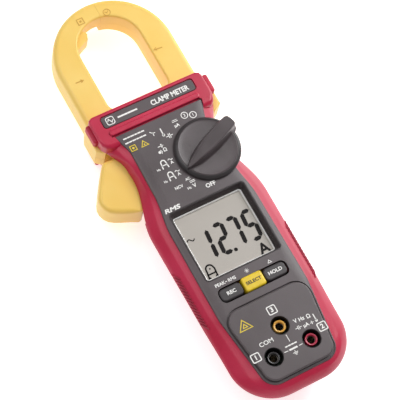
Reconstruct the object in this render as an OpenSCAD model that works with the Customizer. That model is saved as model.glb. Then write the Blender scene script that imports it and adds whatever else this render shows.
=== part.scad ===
// Clamp meter, lying on its back: +Z out of the front panel, +Y towards the jaw.
// The origin is on the flat back, on the centre line, half way along the meter.

/* [Case] */
// Length from the origin down to the bottom end of the case
case_bottom = 117; // [113:1:119]
// Length from the origin up to the top edge of the collar
collar_top = 54.8; // [54.4:0.2:55.2]
// Height of the front panel's face above the back
panel_z = 32; // [31.6:0.1:32.6]
// Height of the split between the front and rear halves of the case
seam_z = 16; // [15:0.5:17]
// Wall thickness of the case mouldings
wall = 2.2; // [1.8:0.1:2.6]
// Radius of the two bottom corners of the case
bottom_r = 23; // [20:1:25]

/* [Jaw] */
// Outer radius of the jaw's arch, and half the width across its arms
jaw_out_r = 33; // [32:0.5:34]
// Inner radius of the arch, and half the opening between the arms
jaw_in_r = 17.5; // [16:0.5:18]
// Distance along the meter to the centre of the outer arch
jaw_arch_y = 85.1; // [83:0.5:87]
// Distance along the meter to the centre of the inner arch
jaw_throat_y = 90.5; // [89:0.5:92]
// Thickness of the jaw from front to back
jaw_t = 16; // [15:0.5:16]
// Wall of the jaw shells
jaw_wall = 2; // [1.6:0.1:2.4]
// Radius of the pivot pin
pin_r = 2; // [1.8:0.1:2.2]

/* [Controls] */
// Radius of the rotary knob's skirt
knob_r = 17.4; // [16:0.2:18]
// Height of the knob's grip above its disc
grip_h = 6.6; // [5:0.2:8]
// Width of the select button
select_w = 11.6; // [11:0.2:12]
// Width of each of the two outer buttons
side_button_w = 12.6; // [12:0.2:13]
// Travel of each button
button_travel = 1; // [0.6:0.1:1.1]

/* [Display] */
// Width of the display window
display_w = 42.2; // [41:0.2:43]
// Height of the display window, along the meter
display_h = 39.8; // [39:0.2:40.4]

/* [Input sockets] */
// Radius of the shrouded wells round the sockets
well_r = 4.85; // [4.6:0.05:5]
// Bore radius of the 4 mm sockets
socket_r = 2; // [2:0.01:2.05]
// Distance between the two lower sockets
socket_pitch = 21.6; // [20:0.2:23]

/* [Hidden] */

$fn = 48;
eps = 0.1;
gap = 0.1; // between parts fixed to each other
red = [0.74, 0.13, 0.24];
yellow = [0.93, 0.72, 0.26];
grey = [0.36, 0.34, 0.35];
black = [0.12, 0.11, 0.12];
brass = [0.83, 0.66, 0.34];
steel = [0.72, 0.73, 0.75];

// The case's half width at points along it: the waist is where the hand and trigger work.
case_stations = [[-94, 32.3], [-60, 33], [-16, 33.3], [18, 26.3], [24, 26.6], [44, 33.8], [56, 33.4]];
// Layers of the two halves as [bottom, top, inset]: widest near the front, drawn in towards the back.
front_layers = [[16, 18.5, 3.4], [18.5, 21, 2.3], [21, 23, 1.2], [23, 25, 0], [25, 26.8, 1], [26.8, 28.2, 2.4],
    [28.2, 29.5, 3.8]];
rear_layers = [[0, 1.5, 10], [1.5, 4, 9.4], [4, 7, 8.4], [7, 10, 7.1], [10, 13, 5.9], [13, 15.9, 4.6]];
collar_layers = [[0, 1.2, 4.6], [1.2, 3, 2.6], [3, 6, 1.2], [6, 15.9, 0.5]];
collar_back_y = 31.5;
panel_stations = [[-70, 25.4], [-20, 25.2], [4, 22.4], [28, 22], [42, 25.4]];
bottom_half = case_stations[0][1];
collar_corner = 4;
top_wall_z = panel_z - 2.5; // outside of the case's front wall, under the panel
ceiling_z = top_wall_z - 2.1; // inside of the case's front wall

// Jaw passage: the space between the front and rear collars that the jaw works in.
jaw_z0 = seam_z - jaw_t / 2;
jaw_z1 = seam_z + jaw_t / 2;
passage_z0 = jaw_z0 - 0.6;
passage_z1 = jaw_z1 + 0.6;
throat_floor = 56.5;
jaw_base_y = 34;
shoulder_x = 37;
jaw_split_x = 3.2;
pivot = [-12, 38.5];
hub_r = 8;
pin_clear = 0.05;

knob_at = [14.1, 13.8];
knob_angle = 22.3; // the grip's rest angle from +X
shaft_r = 6;
knob_base_z = panel_z + 0.3;
disc_z = knob_base_z + 2.1;
rotor_r = 9.2;
rotor_z0 = 22.6;
rotor_z1 = 26.4;

display_at = [0, -29.9];
lcd_z1 = ceiling_z - 0.2;
button_y = -59.5;
button_h = 7; // of the outer buttons, along the meter
button_x = 12.5;
plateau_top_y = -68.5;
plateau_z = panel_z + 1.1;
third_at = [0, -85.6];
common_at = [-socket_pitch / 2, -98.5];
volts_at = [socket_pitch / 2, -98.5];

board_z = 20.4;
board_t = 1.6;
board_top = board_z + board_t;
board_screw_at = [[-5, 22], [20, -3], [-21, -73], [21, -73]];
case_screw_at = [[-20, -103], [20, -103], [-23.5, -58], [23.5, -58], [22, 45]];
screw_r = 1.2;

cell_r = 5.2;
cell_len = 43.6;
cell_z = 7.5;
cell_x = 5.7;
bay_x = 12;
bay_y0 = -61.6;
bay_y1 = -12.4;
bay_z1 = 13.4;
cover_x = 15.8;
cover_y0 = -69.4;
cover_y1 = -8.6;
cover_t = 1.5;
cover_screw_at = [0, -65.4];

function ease(a, b, t) = a + (b - a) * (1 - cos(180 * t)) / 2;
function segment(s, y, i = 0) = (i >= len(s) - 2 || y < s[i + 1][0]) ? i : segment(s, y, i + 1);
function half_at(s, y) =
    let (i = segment(s, y), t = (y - s[i][0]) / (s[i + 1][0] - s[i][0]))
    ease(s[i][1], s[i + 1][1], max(0, min(1, t)));
function mirrored(p) = concat(p, [for (i = [len(p) - 1:-1:0]) [-p[i][0], p[i][1]]]);

// The case seen from the front
module case_outline() {
    corner = [for (a = [0:9:90]) [bottom_half - bottom_r + bottom_r * sin(a), -case_bottom + bottom_r * (1 - cos(a))]];
    side = [for (y = [-90:4:46]) [half_at(case_stations, y), y]];
    top = [[33.4, collar_top - collar_corner], [33.4 - collar_corner, collar_top]];
    polygon(mirrored(concat(corner, side, top)));
}

module case_slab(z0, z1, inset) {
    translate([0, 0, z0]) linear_extrude(z1 - z0) offset(delta = -inset) case_outline();
}

// A flat plate with round corners, centred on a point
module plate(at, size, r, z0, z1) {
    translate([at[0], at[1], z0]) linear_extrude(z1 - z0) rounded(size, r);
}

module rounded(size, r) {
    union() {
        square([size[0] - 2 * r, size[1]], center = true);
        square([size[0], size[1] - 2 * r], center = true);
        for (sx = [-1, 1], sy = [-1, 1])
            translate([sx * (size[0] / 2 - r), sy * (size[1] / 2 - r)]) circle(r = r);
    }
}

module post(at, r, z0, z1) {
    translate([at[0], at[1], z0]) cylinder(r = r, h = z1 - z0);
}

// Room for the jaw and trigger through the side walls and the collar
module jaw_passage() {
    h = passage_z1 - passage_z0;
    translate([-60, -6, passage_z0]) cube([44, 64, h]);
    translate([23, 33, passage_z0]) cube([37, 25, h]);
    translate([-40, 49, passage_z0]) cube([80, 12, h]);
}

// Height of the seat under a case screw's head: deep on the slope of the lower case
function seat_z(p) = p[1] < 0 ? 9.4 : 3.2;

// Red front half: side walls, collar and the wall that carries the panel
module front_case() {
    color(red) difference() {
        union() {
            difference() {
                union() {
                    for (l = front_layers) case_slab(l[0], l[1], l[2]);
                    collar();
                }
                case_slab(seam_z - eps, 18.5, wall + 3.4);
                case_slab(18.4, 21, wall + 2.3);
                case_slab(20.9, 25, wall + 0.8);
                case_slab(24.9, ceiling_z, wall + 2.4);
                post(knob_at, rotor_r + 0.6, seam_z, 26.7);
                post(knob_at, rotor_r - 0.5, seam_z, ceiling_z);
            }
            for (p = case_screw_at) if (p[1] < 0) post(p, 3.1, seam_z + gap, ceiling_z + eps);
            post(case_screw_at[4], 3.1, passage_z1 - 0.2, ceiling_z + eps);
            for (p = board_screw_at) post(p, 2.4, board_top + gap, ceiling_z + eps);
            for (p = [common_at, volts_at, third_at]) post(p, well_r + 1.2, board_top + 0.6, ceiling_z + eps);
            post(pivot, 3.2, passage_z1 - 0.2, ceiling_z + eps);
        }
        jaw_passage();
        for (p = case_screw_at) post(p, screw_r + 0.05, seam_z - eps, 24.4);
        post(case_screw_at[4], screw_r + 0.05, 20, 28.4);
        for (p = board_screw_at) post(p, 1.05, board_top, 27);
        for (p = [common_at, volts_at, third_at]) post(p, well_r, board_top, panel_z);
        post(pivot, pin_r + 0.02, passage_z1 - 1, ceiling_z + 0.4);
        post(knob_at, shaft_r + 0.06, ceiling_z - eps, panel_z);
        plate(display_at, [display_w + 0.6, display_h + 0.6], 2, ceiling_z - eps, panel_z);
        plate([0, button_y], [39.6, 8.8], 3.4, ceiling_z - eps, panel_z);
        nameplate_recess();
    }
}

// The header that the jaw comes out of, with its raised bar and side lugs
module collar() {
    difference() {
        union() {
            case_slab(passage_z1, 28.2, 0.6);
            case_slab(28.2 - eps, 30.6, 1.4);
            case_slab(30.6, 32, 2.6);
        }
        translate([-40, -case_bottom - 2, passage_z1 - 1]) cube([80, case_bottom + 2 + 40.6, 12]);
        translate([-30, 38, 20]) cube([60, 14.6, ceiling_z - 20]);
    }
    plate([0, 43.6], [49, 4.4], 2, panel_z - 1, panel_z + 0.9);
    for (s = [-1, 1]) translate([s * 34, 48.6, (passage_z1 + 29) / 2])
        cube([3.4, 10, 29 - passage_z1], center = true);
}

module nameplate_recess() {
    plate([0, 49.6], [50, 6.6], 1.6, panel_z - 0.8, panel_z + 2);
}

module rear_outside() {
    for (l = rear_layers) case_slab(l[0], l[1], l[2]);
    intersection() {
        translate([-40, collar_back_y, -1]) cube([80, 40, 30]);
        for (l = collar_layers) case_slab(l[0], l[1], l[2]);
    }
}

// Red rear half with the battery bay and the screw pillars
module rear_case() {
    color(red) difference() {
        union() {
            difference() {
                rear_outside();
                for (l = rear_layers) if (l[0] > 0) case_slab(max(wall, l[0] - eps), l[1] + eps, l[2] + wall);
                intersection() {
                    translate([-40, collar_back_y + wall, wall]) cube([80, 40, 20]);
                    union() {
                        case_slab(wall, 4.5, 4.6);
                        case_slab(4.4, seam_z, wall + 0.5);
                    }
                }
            }
            for (s = [-1, 1]) translate([s * 34, 48.6, (3 + passage_z0) / 2])
                cube([3.4, 10, passage_z0 - 3], center = true);
            intersection() {
                rear_outside();
                for (p = case_screw_at) if (p[1] < 0) post(p, 4.1, 1, seam_z - gap);
            }
            post(case_screw_at[4], 3.1, 1, passage_z0 + 0.2);
            post(pivot, 4, 1, passage_z0 + 0.2);
            post(cover_screw_at, 2.8, 1, 10);
            translate([-bay_x - 1.5, bay_y0 - 1.5, 1]) cube([2 * bay_x + 3, bay_y1 - bay_y0 + 3, bay_z1 + 0.5]);
        }
        jaw_passage();
        translate([-bay_x, bay_y0, -eps]) cube([2 * bay_x, bay_y1 - bay_y0, bay_z1 + eps]);
        plate([0, (cover_y0 + cover_y1) / 2], [2 * cover_x + 0.3, cover_y1 - cover_y0 + 0.3], 3.1, -eps, cover_t + 0.1);
        for (p = case_screw_at) {
            post(p, screw_r + 0.2, -eps, seam_z);
            post(p, 2.9, -eps, seat_z(p));
        }
        post(pivot, pin_r + 0.02, 2.4, passage_z0 + 1);
        post(cover_screw_at, screw_r + 0.1, 0, 9);
    }
}

module battery_cover() {
    color(black) difference() {
        union() {
            plate([0, (cover_y0 + cover_y1) / 2], [2 * cover_x, cover_y1 - cover_y0], 3, 0, cover_t);
            for (s = [-1, 1]) translate([s * (bay_x - 0.7) - 0.5, bay_y0 + 8, cover_t - eps]) cube([1, 32, 1.2]);
        }
        post(cover_screw_at, screw_r + 0.3, -eps, 3);
        post(cover_screw_at, 2.5, -eps, 0.9);
        for (i = [0:4]) translate([-6, -17 - 2.2 * i, -eps]) cube([12, 1, 0.5]);
    }
}

module battery_cover_screw() {
    color(steel) difference() {
        union() {
            post(cover_screw_at, 2.3, 0.2, 0.9 - 0.02);
            post(cover_screw_at, screw_r, 0.5, 8.4);
        }
        translate([cover_screw_at[0], cover_screw_at[1], 0.3]) cube([3.6, 0.7, 0.5], center = true);
    }
}

// Cross-recessed screws that join the two halves
module case_screws() {
    color(steel) for (p = case_screw_at) difference() {
        union() {
            post(p, 2.4, seat_z(p) - 2, seat_z(p) - 0.05);
            post(p, screw_r, seat_z(p) - 0.2, p[1] < 0 ? 24 : 28);
        }
        for (a = [0, 90]) translate([p[0], p[1], seat_z(p) - 1.7]) rotate(a) cube([2.8, 0.7, 1.2], center = true);
    }
}

module panel_shape(inset) {
    y0 = -case_bottom + 5.6;
    corner = [for (a = [0:15:90]) [13 + 8.2 * sin(a), y0 + 8.2 * (1 - cos(a))]];
    side = [for (y = [-70:6:38]) [half_at(panel_stations, y), y]];
    top = [[25.2, 40.4]];
    offset(delta = -inset) polygon(mirrored(concat(corner, side, top)));
}

// Grey front panel with the raised socket area at its lower end
module front_panel() {
    color(grey) difference() {
        union() {
            translate([0, 0, top_wall_z]) linear_extrude(1.1) panel_shape(0);
            translate([0, 0, top_wall_z + 1]) linear_extrude(panel_z - top_wall_z - 1) panel_shape(1);
            translate([0, 0, panel_z - eps]) linear_extrude(plateau_z - panel_z + eps) intersection() {
                panel_shape(1.6);
                translate([0, plateau_top_y - 25]) rounded([60, 50], 8);
            }
        }
        post(knob_at, shaft_r + 0.5, 20, 40);
        plate(display_at, [display_w, display_h], 1.6, 20, 40);
        plate([0, button_y], [39.2, 8.3], 3.2, 20, 40);
        for (p = [common_at, volts_at, third_at]) post(p, well_r, 20, 40);
    }
}

module nameplate() {
    color(grey) plate([0, 49.6], [49.8, 6.4], 1.5, panel_z - 0.7, panel_z - 0.1);
}

module display_window() {
    color([0.8, 0.85, 0.85, 0.35]) plate(display_at, [display_w - 0.2, display_h - 0.2], 1.5, panel_z - 1.5, panel_z - 0.5);
}

// Dark frame between the window and the display, with sloping inside faces
module display_bezel() {
    h = panel_z - 1.6 - ceiling_z;
    foot = [display_w - 3, display_h - 3];
    color(black) difference() {
        plate(display_at, [display_w - 0.2, display_h - 0.2], 1.5, ceiling_z, ceiling_z + h);
        translate([display_at[0], display_at[1], ceiling_z - eps])
            linear_extrude(h + 2 * eps, slices = 1, scale = [(display_w - 1) / foot[0], (display_h - 1) / foot[1]])
            square(foot, center = true);
    }
}

module lcd_glass() {
    color([0.72, 0.68, 0.64]) {
        plate(display_at, [43.6, 41], 0.5, lcd_z1 - 0.9, lcd_z1);
        plate([display_at[0], display_at[1] + 0.6], [43.2, 39.4], 0.5, lcd_z1 - 2, lcd_z1 - 0.85);
    }
}

module light_guide() {
    color([0.92, 0.93, 0.9]) plate(display_at, [41, 34], 0.6, lcd_z1 - 4.1, lcd_z1 - 2.1);
}

module lcd_holder() {
    color(black) difference() {
        plate(display_at, [46.6, 43.2], 1.2, board_top + gap, lcd_z1 - gap);
        plate(display_at, [43.8, 41.2], 0.6, board_top, lcd_z1 + 1);
    }
}

// Rubber connectors between the board and the display glass
module zebra_strips() {
    color([0.85, 0.5, 0.55]) for (s = [-1, 1])
        translate([-19, display_at[1] + s * 18.9 - 1, board_top + 0.05]) cube([38, 2, lcd_z1 - 2.1 - board_top]);
}

// Circuit board, cut back on the left so that the trigger can swing in
module main_board() {
    right = [[21.2, 28], [21.2, 7], [23, 0], [24, -14], [24, -92], [22, -104], [12, -111.2]];
    left = [[-12, -111.2], [-22, -104], [-24, -92], [-24, -9], [-9, -9], [-9, 21], [-6, 28]];
    color([0.1, 0.36, 0.2]) difference() {
        translate([0, 0, board_z]) linear_extrude(board_t) polygon(concat(right, left));
        for (p = [common_at, volts_at, third_at]) post(p, 2.85, 19, 24);
        for (p = board_screw_at) post(p, 1.15, 19, 24);
        post([knob_at[0], knob_at[1]], 2, 19, 24);
        for (p = case_screw_at) if (p[1] < 0) post(p, 3.6, 19, 24);
    }
}

module board_screws() {
    color(steel) for (p = board_screw_at) difference() {
        union() {
            post(p, 2.1, board_z - 1.5, board_z - 0.02);
            post(p, 1, board_z - 0.1, 26.6);
        }
        translate([p[0], p[1], board_z - 1.4]) cube([3, 0.6, 1], center = true);
    }
}

module chip(at, size, h) {
    color(black) translate([at[0], at[1], board_z - 0.3 - h / 2]) cube([size, size, h], center = true);
    color(steel) for (s = [-1, 1], i = [-3:3]) {
        translate([at[0] + s * (size / 2 + 0.6), at[1] + i * size / 8, board_z - 0.3]) cube([1.4, 0.5, 0.5], center = true);
        translate([at[0] + i * size / 8, at[1] + s * (size / 2 + 0.6), board_z - 0.3]) cube([0.5, 1.4, 0.5], center = true);
    }
}

module measuring_chip() {
    chip([-5, -38], 12, 1.6);
}

module processor_chip() {
    chip([10, -18], 9, 1.4);
}

module crystal() {
    color(steel) {
        plate([-3, -20], [9, 3.6], 1.7, board_z - 3.6, board_z - 0.6);
        plate([-3, -20], [10, 4.4], 2.1, board_z - 0.6, board_z - 0.05);
    }
}

module capacitors() {
    color([0.2, 0.22, 0.3]) for (p = [[-19, -20], [-19, -30], [18, -32], [18, -78]])
        post(p, 2.5, board_z - 6.6, board_z - 0.05);
}

// Large resistors that protect the inputs
module input_resistors() {
    color([0.55, 0.72, 0.78]) for (y = [-104, -92])
        translate([-5.4, y, board_z - 1.9]) rotate([0, 90, 0]) cylinder(r = 1.5, h = 10.8);
    color(steel) for (y = [-104, -92], x = [-6.4, 5.3])
        translate([x, y, board_z - 1.9]) rotate([0, 90, 0]) cylinder(r = 0.4, h = 1.1);
}

module buzzer() {
    color(black) difference() {
        post([-14, -78], 6.5, board_z - 4.5, board_z - 0.05);
        post([-14, -78], 1, board_z - 5, board_z - 3.5);
    }
}

module backlight_leds() {
    color([0.95, 0.95, 0.85]) for (x = [-12, 12])
        translate([x - 1.5, display_at[1] - 0.8, board_top + 0.05]) cube([3, 1.6, 0.9]);
}

// The grip seen from the front: a blunt end and a pointed end, along X
module grip_outline() {
    polygon([[-18.2, 0], [-16.6, -1.7], [-6, -3.3], [6, -4.2], [15.5, -4.3], [17.6, -2.6],
        [18, 0], [17.6, 2.6], [15.5, 4.3], [6, 4.2], [-6, 3.3], [-16.6, 1.7]]);
}

module knob() {
    color(black) translate([knob_at[0], knob_at[1], 0]) rotate(knob_angle) {
        translate([0, 0, knob_base_z]) cylinder(r = knob_r, h = 0.9);
        translate([0, 0, knob_base_z + 0.9]) cylinder(r1 = knob_r, r2 = knob_r - 2.4, h = 1.2);
        translate([0, 0, disc_z - eps]) linear_extrude(grip_h + eps) grip_outline();
        translate([0, 0, rotor_z1]) cylinder(r = shaft_r, h = knob_base_z - rotor_z1 + eps);
        translate([-3, -3, rotor_z0 + 0.8]) cube([6, 6, rotor_z1 - rotor_z0]);
    }
}

// Disc under the knob that carries the sliding contacts
module switch_rotor() {
    color([0.85, 0.85, 0.8]) translate([knob_at[0], knob_at[1], 0]) rotate(knob_angle) difference() {
        translate([0, 0, rotor_z0]) cylinder(r = rotor_r, h = rotor_z1 - rotor_z0 - 0.05);
        translate([-3.06, -3.06, rotor_z0 + 0.7]) cube([6.12, 6.12, 6]);
        for (s = [-1, 1]) translate([s * 7.4, 0, rotor_z0 + 0.8]) cylinder(r = 1.05, h = 6);
    }
}

module wiper_contacts() {
    color(brass) translate([knob_at[0], knob_at[1], 0]) rotate(knob_angle) for (a = [30:120:270]) rotate(a) {
        translate([3, -0.6, rotor_z0 - 0.25]) cube([4.5, 1.2, 0.2]);
        translate([6.3, -0.6, board_top + 0.06]) cube([1, 1.2, rotor_z0 - 0.2 - board_top]);
    }
}

module detent_balls() {
    color(steel) translate([knob_at[0], knob_at[1], 0]) rotate(knob_angle)
        for (s = [-1, 1]) translate([s * 7.4, 0, 26.3]) sphere(r = 0.95);
}

module detent_springs() {
    color(steel) translate([knob_at[0], knob_at[1], 0]) rotate(knob_angle) for (s = [-1, 1])
        translate([s * 7.4, 0, 0]) coil_spring(0.7, 0.14, rotor_z0 + 1, 25.25, 4, 10, 6);
}

module button(x, w, h, top_z, r) {
    difference() {
        union() {
            plate([x, button_y], [w, h], r, 26, top_z);
            plate([x, button_y], [w - 0.2, h + 2.4], 0.8, 25.9, 27.1);
            post([x, button_y], 2, 25.7, 26);
        }
        plate([x, button_y], [w - 3, h - 3], 0.5, 25.95, top_z - 2);
    }
    post([x, button_y], 1.6, 25.7, top_z - 1.9);
}

module select_button() {
    color([0.93, 0.78, 0.13]) button(-0.3, select_w, 7.8, panel_z + 1.6, 1);
}

module record_button() {
    color(black) button(-button_x - 0.4, side_button_w, button_h, panel_z + 0.5, 2.4);
}

module hold_button() {
    color(black) button(button_x - 0.2, side_button_w - 0.2, button_h, panel_z + 0.5, 2.4);
}

// Soft rubber mat with a dome under each button
module button_mat() {
    color([0.75, 0.75, 0.72]) {
        plate([0, button_y], [38, 12.4], 1.5, board_top + 0.05, board_top + 1.2);
        for (x = [-button_x - 0.4, -0.3, button_x - 0.2]) post([x, button_y], 2.6, board_top + 1.1, 25.6 - button_travel);
    }
}

// Coloured insulating sleeve round one socket
module sleeve(at) {
    difference() {
        post(at, 3.3, board_top + 0.3, plateau_z - 1.4);
        post(at, 2.8, board_top, plateau_z - 2.6);
        post(at, 2.3, board_top, plateau_z);
    }
}

module sleeve_black() {
    color(black) sleeve(common_at);
}

module sleeve_red() {
    color([0.7, 0.1, 0.15]) sleeve(volts_at);
}

module sleeve_yellow() {
    color([0.9, 0.65, 0.25]) sleeve(third_at);
}

// Blind brass socket for a 4 mm plug, soldered into the board
module socket(at) {
    color(brass) difference() {
        union() {
            post(at, 2.75, 8.6, plateau_z - 2.7);
            post(at, 4.1, board_z - 0.9, board_z - 0.05);
        }
        post(at, socket_r, 10, plateau_z);
    }
}

module socket_common() {
    socket(common_at);
}

module socket_volts() {
    socket(volts_at);
}

module socket_third() {
    socket(third_at);
}

// The closed jaw seen from the front, drawn in by an inset
module jaw_ring(inset) {
    r = jaw_out_r - inset;
    q = jaw_in_r + inset;
    difference() {
        union() {
            translate([0, jaw_arch_y]) circle(r = r, $fn = 96);
            translate([-r, throat_floor - 4]) square([2 * r, jaw_arch_y - throat_floor + 4]);
        }
        translate([0, jaw_throat_y]) circle(r = q, $fn = 96);
        translate([-q, throat_floor]) square([2 * q, jaw_throat_y - throat_floor]);
    }
}

// One arm with its base: side is 1 for the fixed jaw and -1 for the moving one
module jaw_half(side) {
    split = side > 0 ? jaw_split_x : -(jaw_split_x - 0.3);
    edge = side > 0 ? 1.6 : -0.2;
    scale([side, 1]) {
        intersection() {
            jaw_ring(0);
            translate([split, 70]) square([60, 60]);
        }
        intersection() {
            jaw_ring(0);
            translate([1, throat_floor]) square([60, 20]);
        }
        polygon([[edge, throat_floor], [edge, jaw_base_y], [jaw_out_r, jaw_base_y], [shoulder_x, jaw_base_y + 3],
            [shoulder_x, 51.6], [jaw_out_r, 56], [jaw_out_r, throat_floor + eps], [jaw_in_r, throat_floor + eps],
            [jaw_in_r, throat_floor]]);
        difference() {
            translate([jaw_in_r - 5, throat_floor]) square([5 + eps, 5]);
            translate([jaw_in_r - 5, throat_floor + 5]) circle(r = 5);
        }
    }
}

// The hollow inside one arm
module jaw_hollow(side) {
    scale([side, 1]) intersection() {
        jaw_ring(jaw_wall);
        translate([side > 0 ? jaw_split_x + jaw_wall : jaw_wall - 2.4, throat_floor + 3]) square([60, 80]);
    }
}

module jaw_shell(side, front) {
    z0 = front ? seam_z + gap / 2 : jaw_z0;
    z1 = front ? jaw_z1 : seam_z - gap / 2;
    difference() {
        translate([0, 0, z0]) linear_extrude(z1 - z0) jaw_half(side);
        translate([0, 0, jaw_z0 + jaw_wall]) linear_extrude(jaw_t - 2 * jaw_wall) jaw_hollow(side);
    }
}

module fixed_jaw_shell(front) {
    color(yellow) difference() {
        jaw_shell(1, front);
        post(case_screw_at[4], screw_r + 0.4, 0, 40);
        translate([20.5, jaw_base_y - 1, seam_z - 2]) cube([10.5, 6, 4]);
        translate([26, jaw_base_y - 1, seam_z - 2]) cube([5, 28, 4]);
    }
}

module fixed_jaw_front() {
    fixed_jaw_shell(true);
}

module fixed_jaw_rear() {
    fixed_jaw_shell(false);
}

module moving_jaw_shell(front) {
    color(yellow) difference() {
        union() {
            jaw_shell(-1, front);
            if (front) conductor_hook();
        }
        post(pivot, pin_r + pin_clear, 0, 40);
        trigger_tab(0.1);
    }
}

// Small tooth inside the moving arm that lifts one wire out of a bundle
module conductor_hook() {
    translate([0, 0, seam_z + 1]) linear_extrude(4.6)
        polygon([[-18.4, 96], [-17.6, 94.6], [-9.4, 98.2], [-8.6, 101.2], [-12.6, 103.6]]);
}

module moving_jaw_front() {
    moving_jaw_shell(true);
}

module moving_jaw_rear() {
    moving_jaw_shell(false);
}

// Laminated iron core inside one arm, leaving the coil room on the straight
module core(side) {
    z0 = seam_z - 3;
    color(steel) scale([side, 1, 1]) translate([0, 0, z0]) linear_extrude(6) {
        intersection() {
            jaw_ring(jaw_wall + 1.2);
            translate([side > 0 ? jaw_split_x + 2.4 : -0.2, 82]) square([60, 60]);
        }
        translate([22.6, 61]) square([5.4, 21.5]);
    }
}

module fixed_core() {
    core(1);
}

module moving_core() {
    core(-1);
}

module coil(side) {
    color([0.72, 0.36, 0.18]) scale([side, 1, 1]) difference() {
        plate([25.3, 70.5], [9.4, 20], 0.6, seam_z - 5.2, seam_z + 5.2);
        translate([22.3, 60, seam_z - 3.3]) cube([6, 21, 6.6]);
    }
}

module fixed_coil() {
    coil(1);
}

module moving_coil() {
    coil(-1);
}

// A round wire swept along a path, with a ring of corners at each point
function unit(v) = v / norm(v);
function tangent(p, i) = unit(p[min(i + 1, len(p) - 1)] - p[max(i - 1, 0)]);
function ring_at(p, i, r, n) =
    let (t = tangent(p, i), u = unit(cross(t, abs(t[2]) > 0.8 ? [1, 0, 0] : [0, 0, 1])), v = cross(t, u))
    [for (k = [0:n - 1]) p[i] + r * (cos(360 * k / n) * u + sin(360 * k / n) * v)];

module wire(path, r, n) {
    rings = [for (i = [0:len(path) - 1]) each ring_at(path, i, r, n)];
    last = (len(path) - 1) * n;
    sides = [for (i = [0:len(path) - 2], k = [0:n - 1])
        let (a = i * n + k, b = i * n + (k + 1) % n) [a, a + n, b + n, b]];
    polyhedron(rings, concat([[for (k = [0:n - 1]) k]], sides, [[for (k = [n - 1:-1:0]) last + k]]));
}

module coil_spring(coil_r, wire_r, z0, z1, turns, steps, n) {
    path = [for (i = [0:turns * steps]) let (a = 360 * i / steps)
        [coil_r * cos(a), coil_r * sin(a), z0 + (z1 - z0) * i / (turns * steps)]];
    wire(path, wire_r, n);
}

module coil_leads() {
    color([0.2, 0.3, 0.6]) for (x = [27.5, 29.5])
        wire([[x, 59.6, seam_z], [x, 50, seam_z], [x, 40, seam_z], [x - 4, 36.5, seam_z], [x - 6.4, 33.6, seam_z + 0.4],
            [x - 8.5, 30, seam_z + 1.4], [x - 9.5, 26, seam_z + 2.6], [x - 10, 24.6, board_z - 0.4]], 0.45, 8);
}

// Round tab that is held between the two moving shells, round the pin
module trigger_tab(clear) {
    z0 = seam_z - 4 - clear;
    translate([0, 0, z0]) linear_extrude(8 + 2 * clear) {
        translate(pivot) circle(r = hub_r + clear);
        translate([pivot[0] - hub_r - clear, jaw_base_y - 4]) square([2 * hub_r + 2 * clear, pivot[1] - jaw_base_y + 4]);
    }
}

// Lever that the thumb presses to open the jaw
module trigger() {
    outline = [[-35.4, 33.5], [-40, 27.4], [-46.6, 17.6], [-47.2, 13.6], [-46, 9.6], [-42.8, 6.4], [-38.4, 4],
        [-30.2, 0.8], [-28.4, 1], [-27.2, 3.2], [-22.6, 14], [-15.6, 24], [-6, 33.5]];
    color(yellow) difference() {
        union() {
            translate([0, 0, jaw_z0 + 0.2]) linear_extrude(jaw_t - 0.4) polygon(outline);
            trigger_tab(0);
        }
        post(pivot, pin_r + pin_clear, 0, 40);
    }
}

module pivot_pin() {
    color(steel) post(pivot, pin_r, 2.5, ceiling_z + 0.3);
}

// Wound spring on the pin that closes the jaw
module jaw_spring() {
    r = 4.2;
    turns = 2;
    path = [for (i = [0:turns * 16]) let (a = 360 * i / 16) [r * cos(a), r * sin(a), 25.3 + i * 0.055]];
    color(steel) translate([pivot[0], pivot[1], 0])
        wire(concat([[r, -9, 25.3], [r, -3, 25.3]], path, [[r, 3, 27.06], [r, 9, 27.06]]), 0.32, 8);
}

// An AAA cell along the meter, with its button end at y1 if forward
module cell(x, y0, forward) {
    body = cell_len - 0.9;
    translate([x, forward ? y0 : y0 + cell_len, cell_z]) rotate([forward ? -90 : 90, 0, 0]) {
        cylinder(r = cell_r, h = body);
        translate([0, 0, body - eps]) cylinder(r = 1.8, h = 1);
    }
}

module battery_left() {
    color([0.25, 0.27, 0.3]) cell(-cell_x, bay_y0 + 4, true);
}

module battery_right() {
    color([0.25, 0.27, 0.3]) cell(cell_x, bay_y1 - 4 - cell_len, false);
}

module battery_springs() {
    color(steel) for (s = [-1, 1])
        translate([s * cell_x, s < 0 ? bay_y0 + 0.8 : bay_y1 - 0.8, cell_z]) rotate([s < 0 ? -90 : 90, 0, 0])
        coil_spring(3, 0.35, 0, 2.6, 3, 12, 6);
}

module battery_plates() {
    color(steel) for (y = [bay_y0 + 0.05, bay_y1 - 0.45]) {
        translate([-bay_x + 1, y, 3.2]) cube([2 * bay_x - 2, 0.4, 8.6]);
    }
}

front_case();
rear_case();
front_panel();
nameplate();
battery_cover();
battery_cover_screw();
case_screws();
display_window();
display_bezel();
lcd_glass();
light_guide();
lcd_holder();
zebra_strips();
main_board();
board_screws();
measuring_chip();
processor_chip();
crystal();
capacitors();
input_resistors();
buzzer();
backlight_leds();
knob();
switch_rotor();
wiper_contacts();
detent_balls();
detent_springs();
select_button();
record_button();
hold_button();
button_mat();
sleeve_black();
sleeve_red();
sleeve_yellow();
socket_common();
socket_volts();
socket_third();
fixed_jaw_front();
fixed_jaw_rear();
fixed_core();
fixed_coil();
coil_leads();
moving_jaw_front();
moving_jaw_rear();
moving_core();
moving_coil();
trigger();
pivot_pin();
jaw_spring();
battery_left();
battery_right();
battery_springs();
battery_plates();
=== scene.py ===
import math

import bmesh
import bpy
from mathutils import Matrix, Vector


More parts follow.
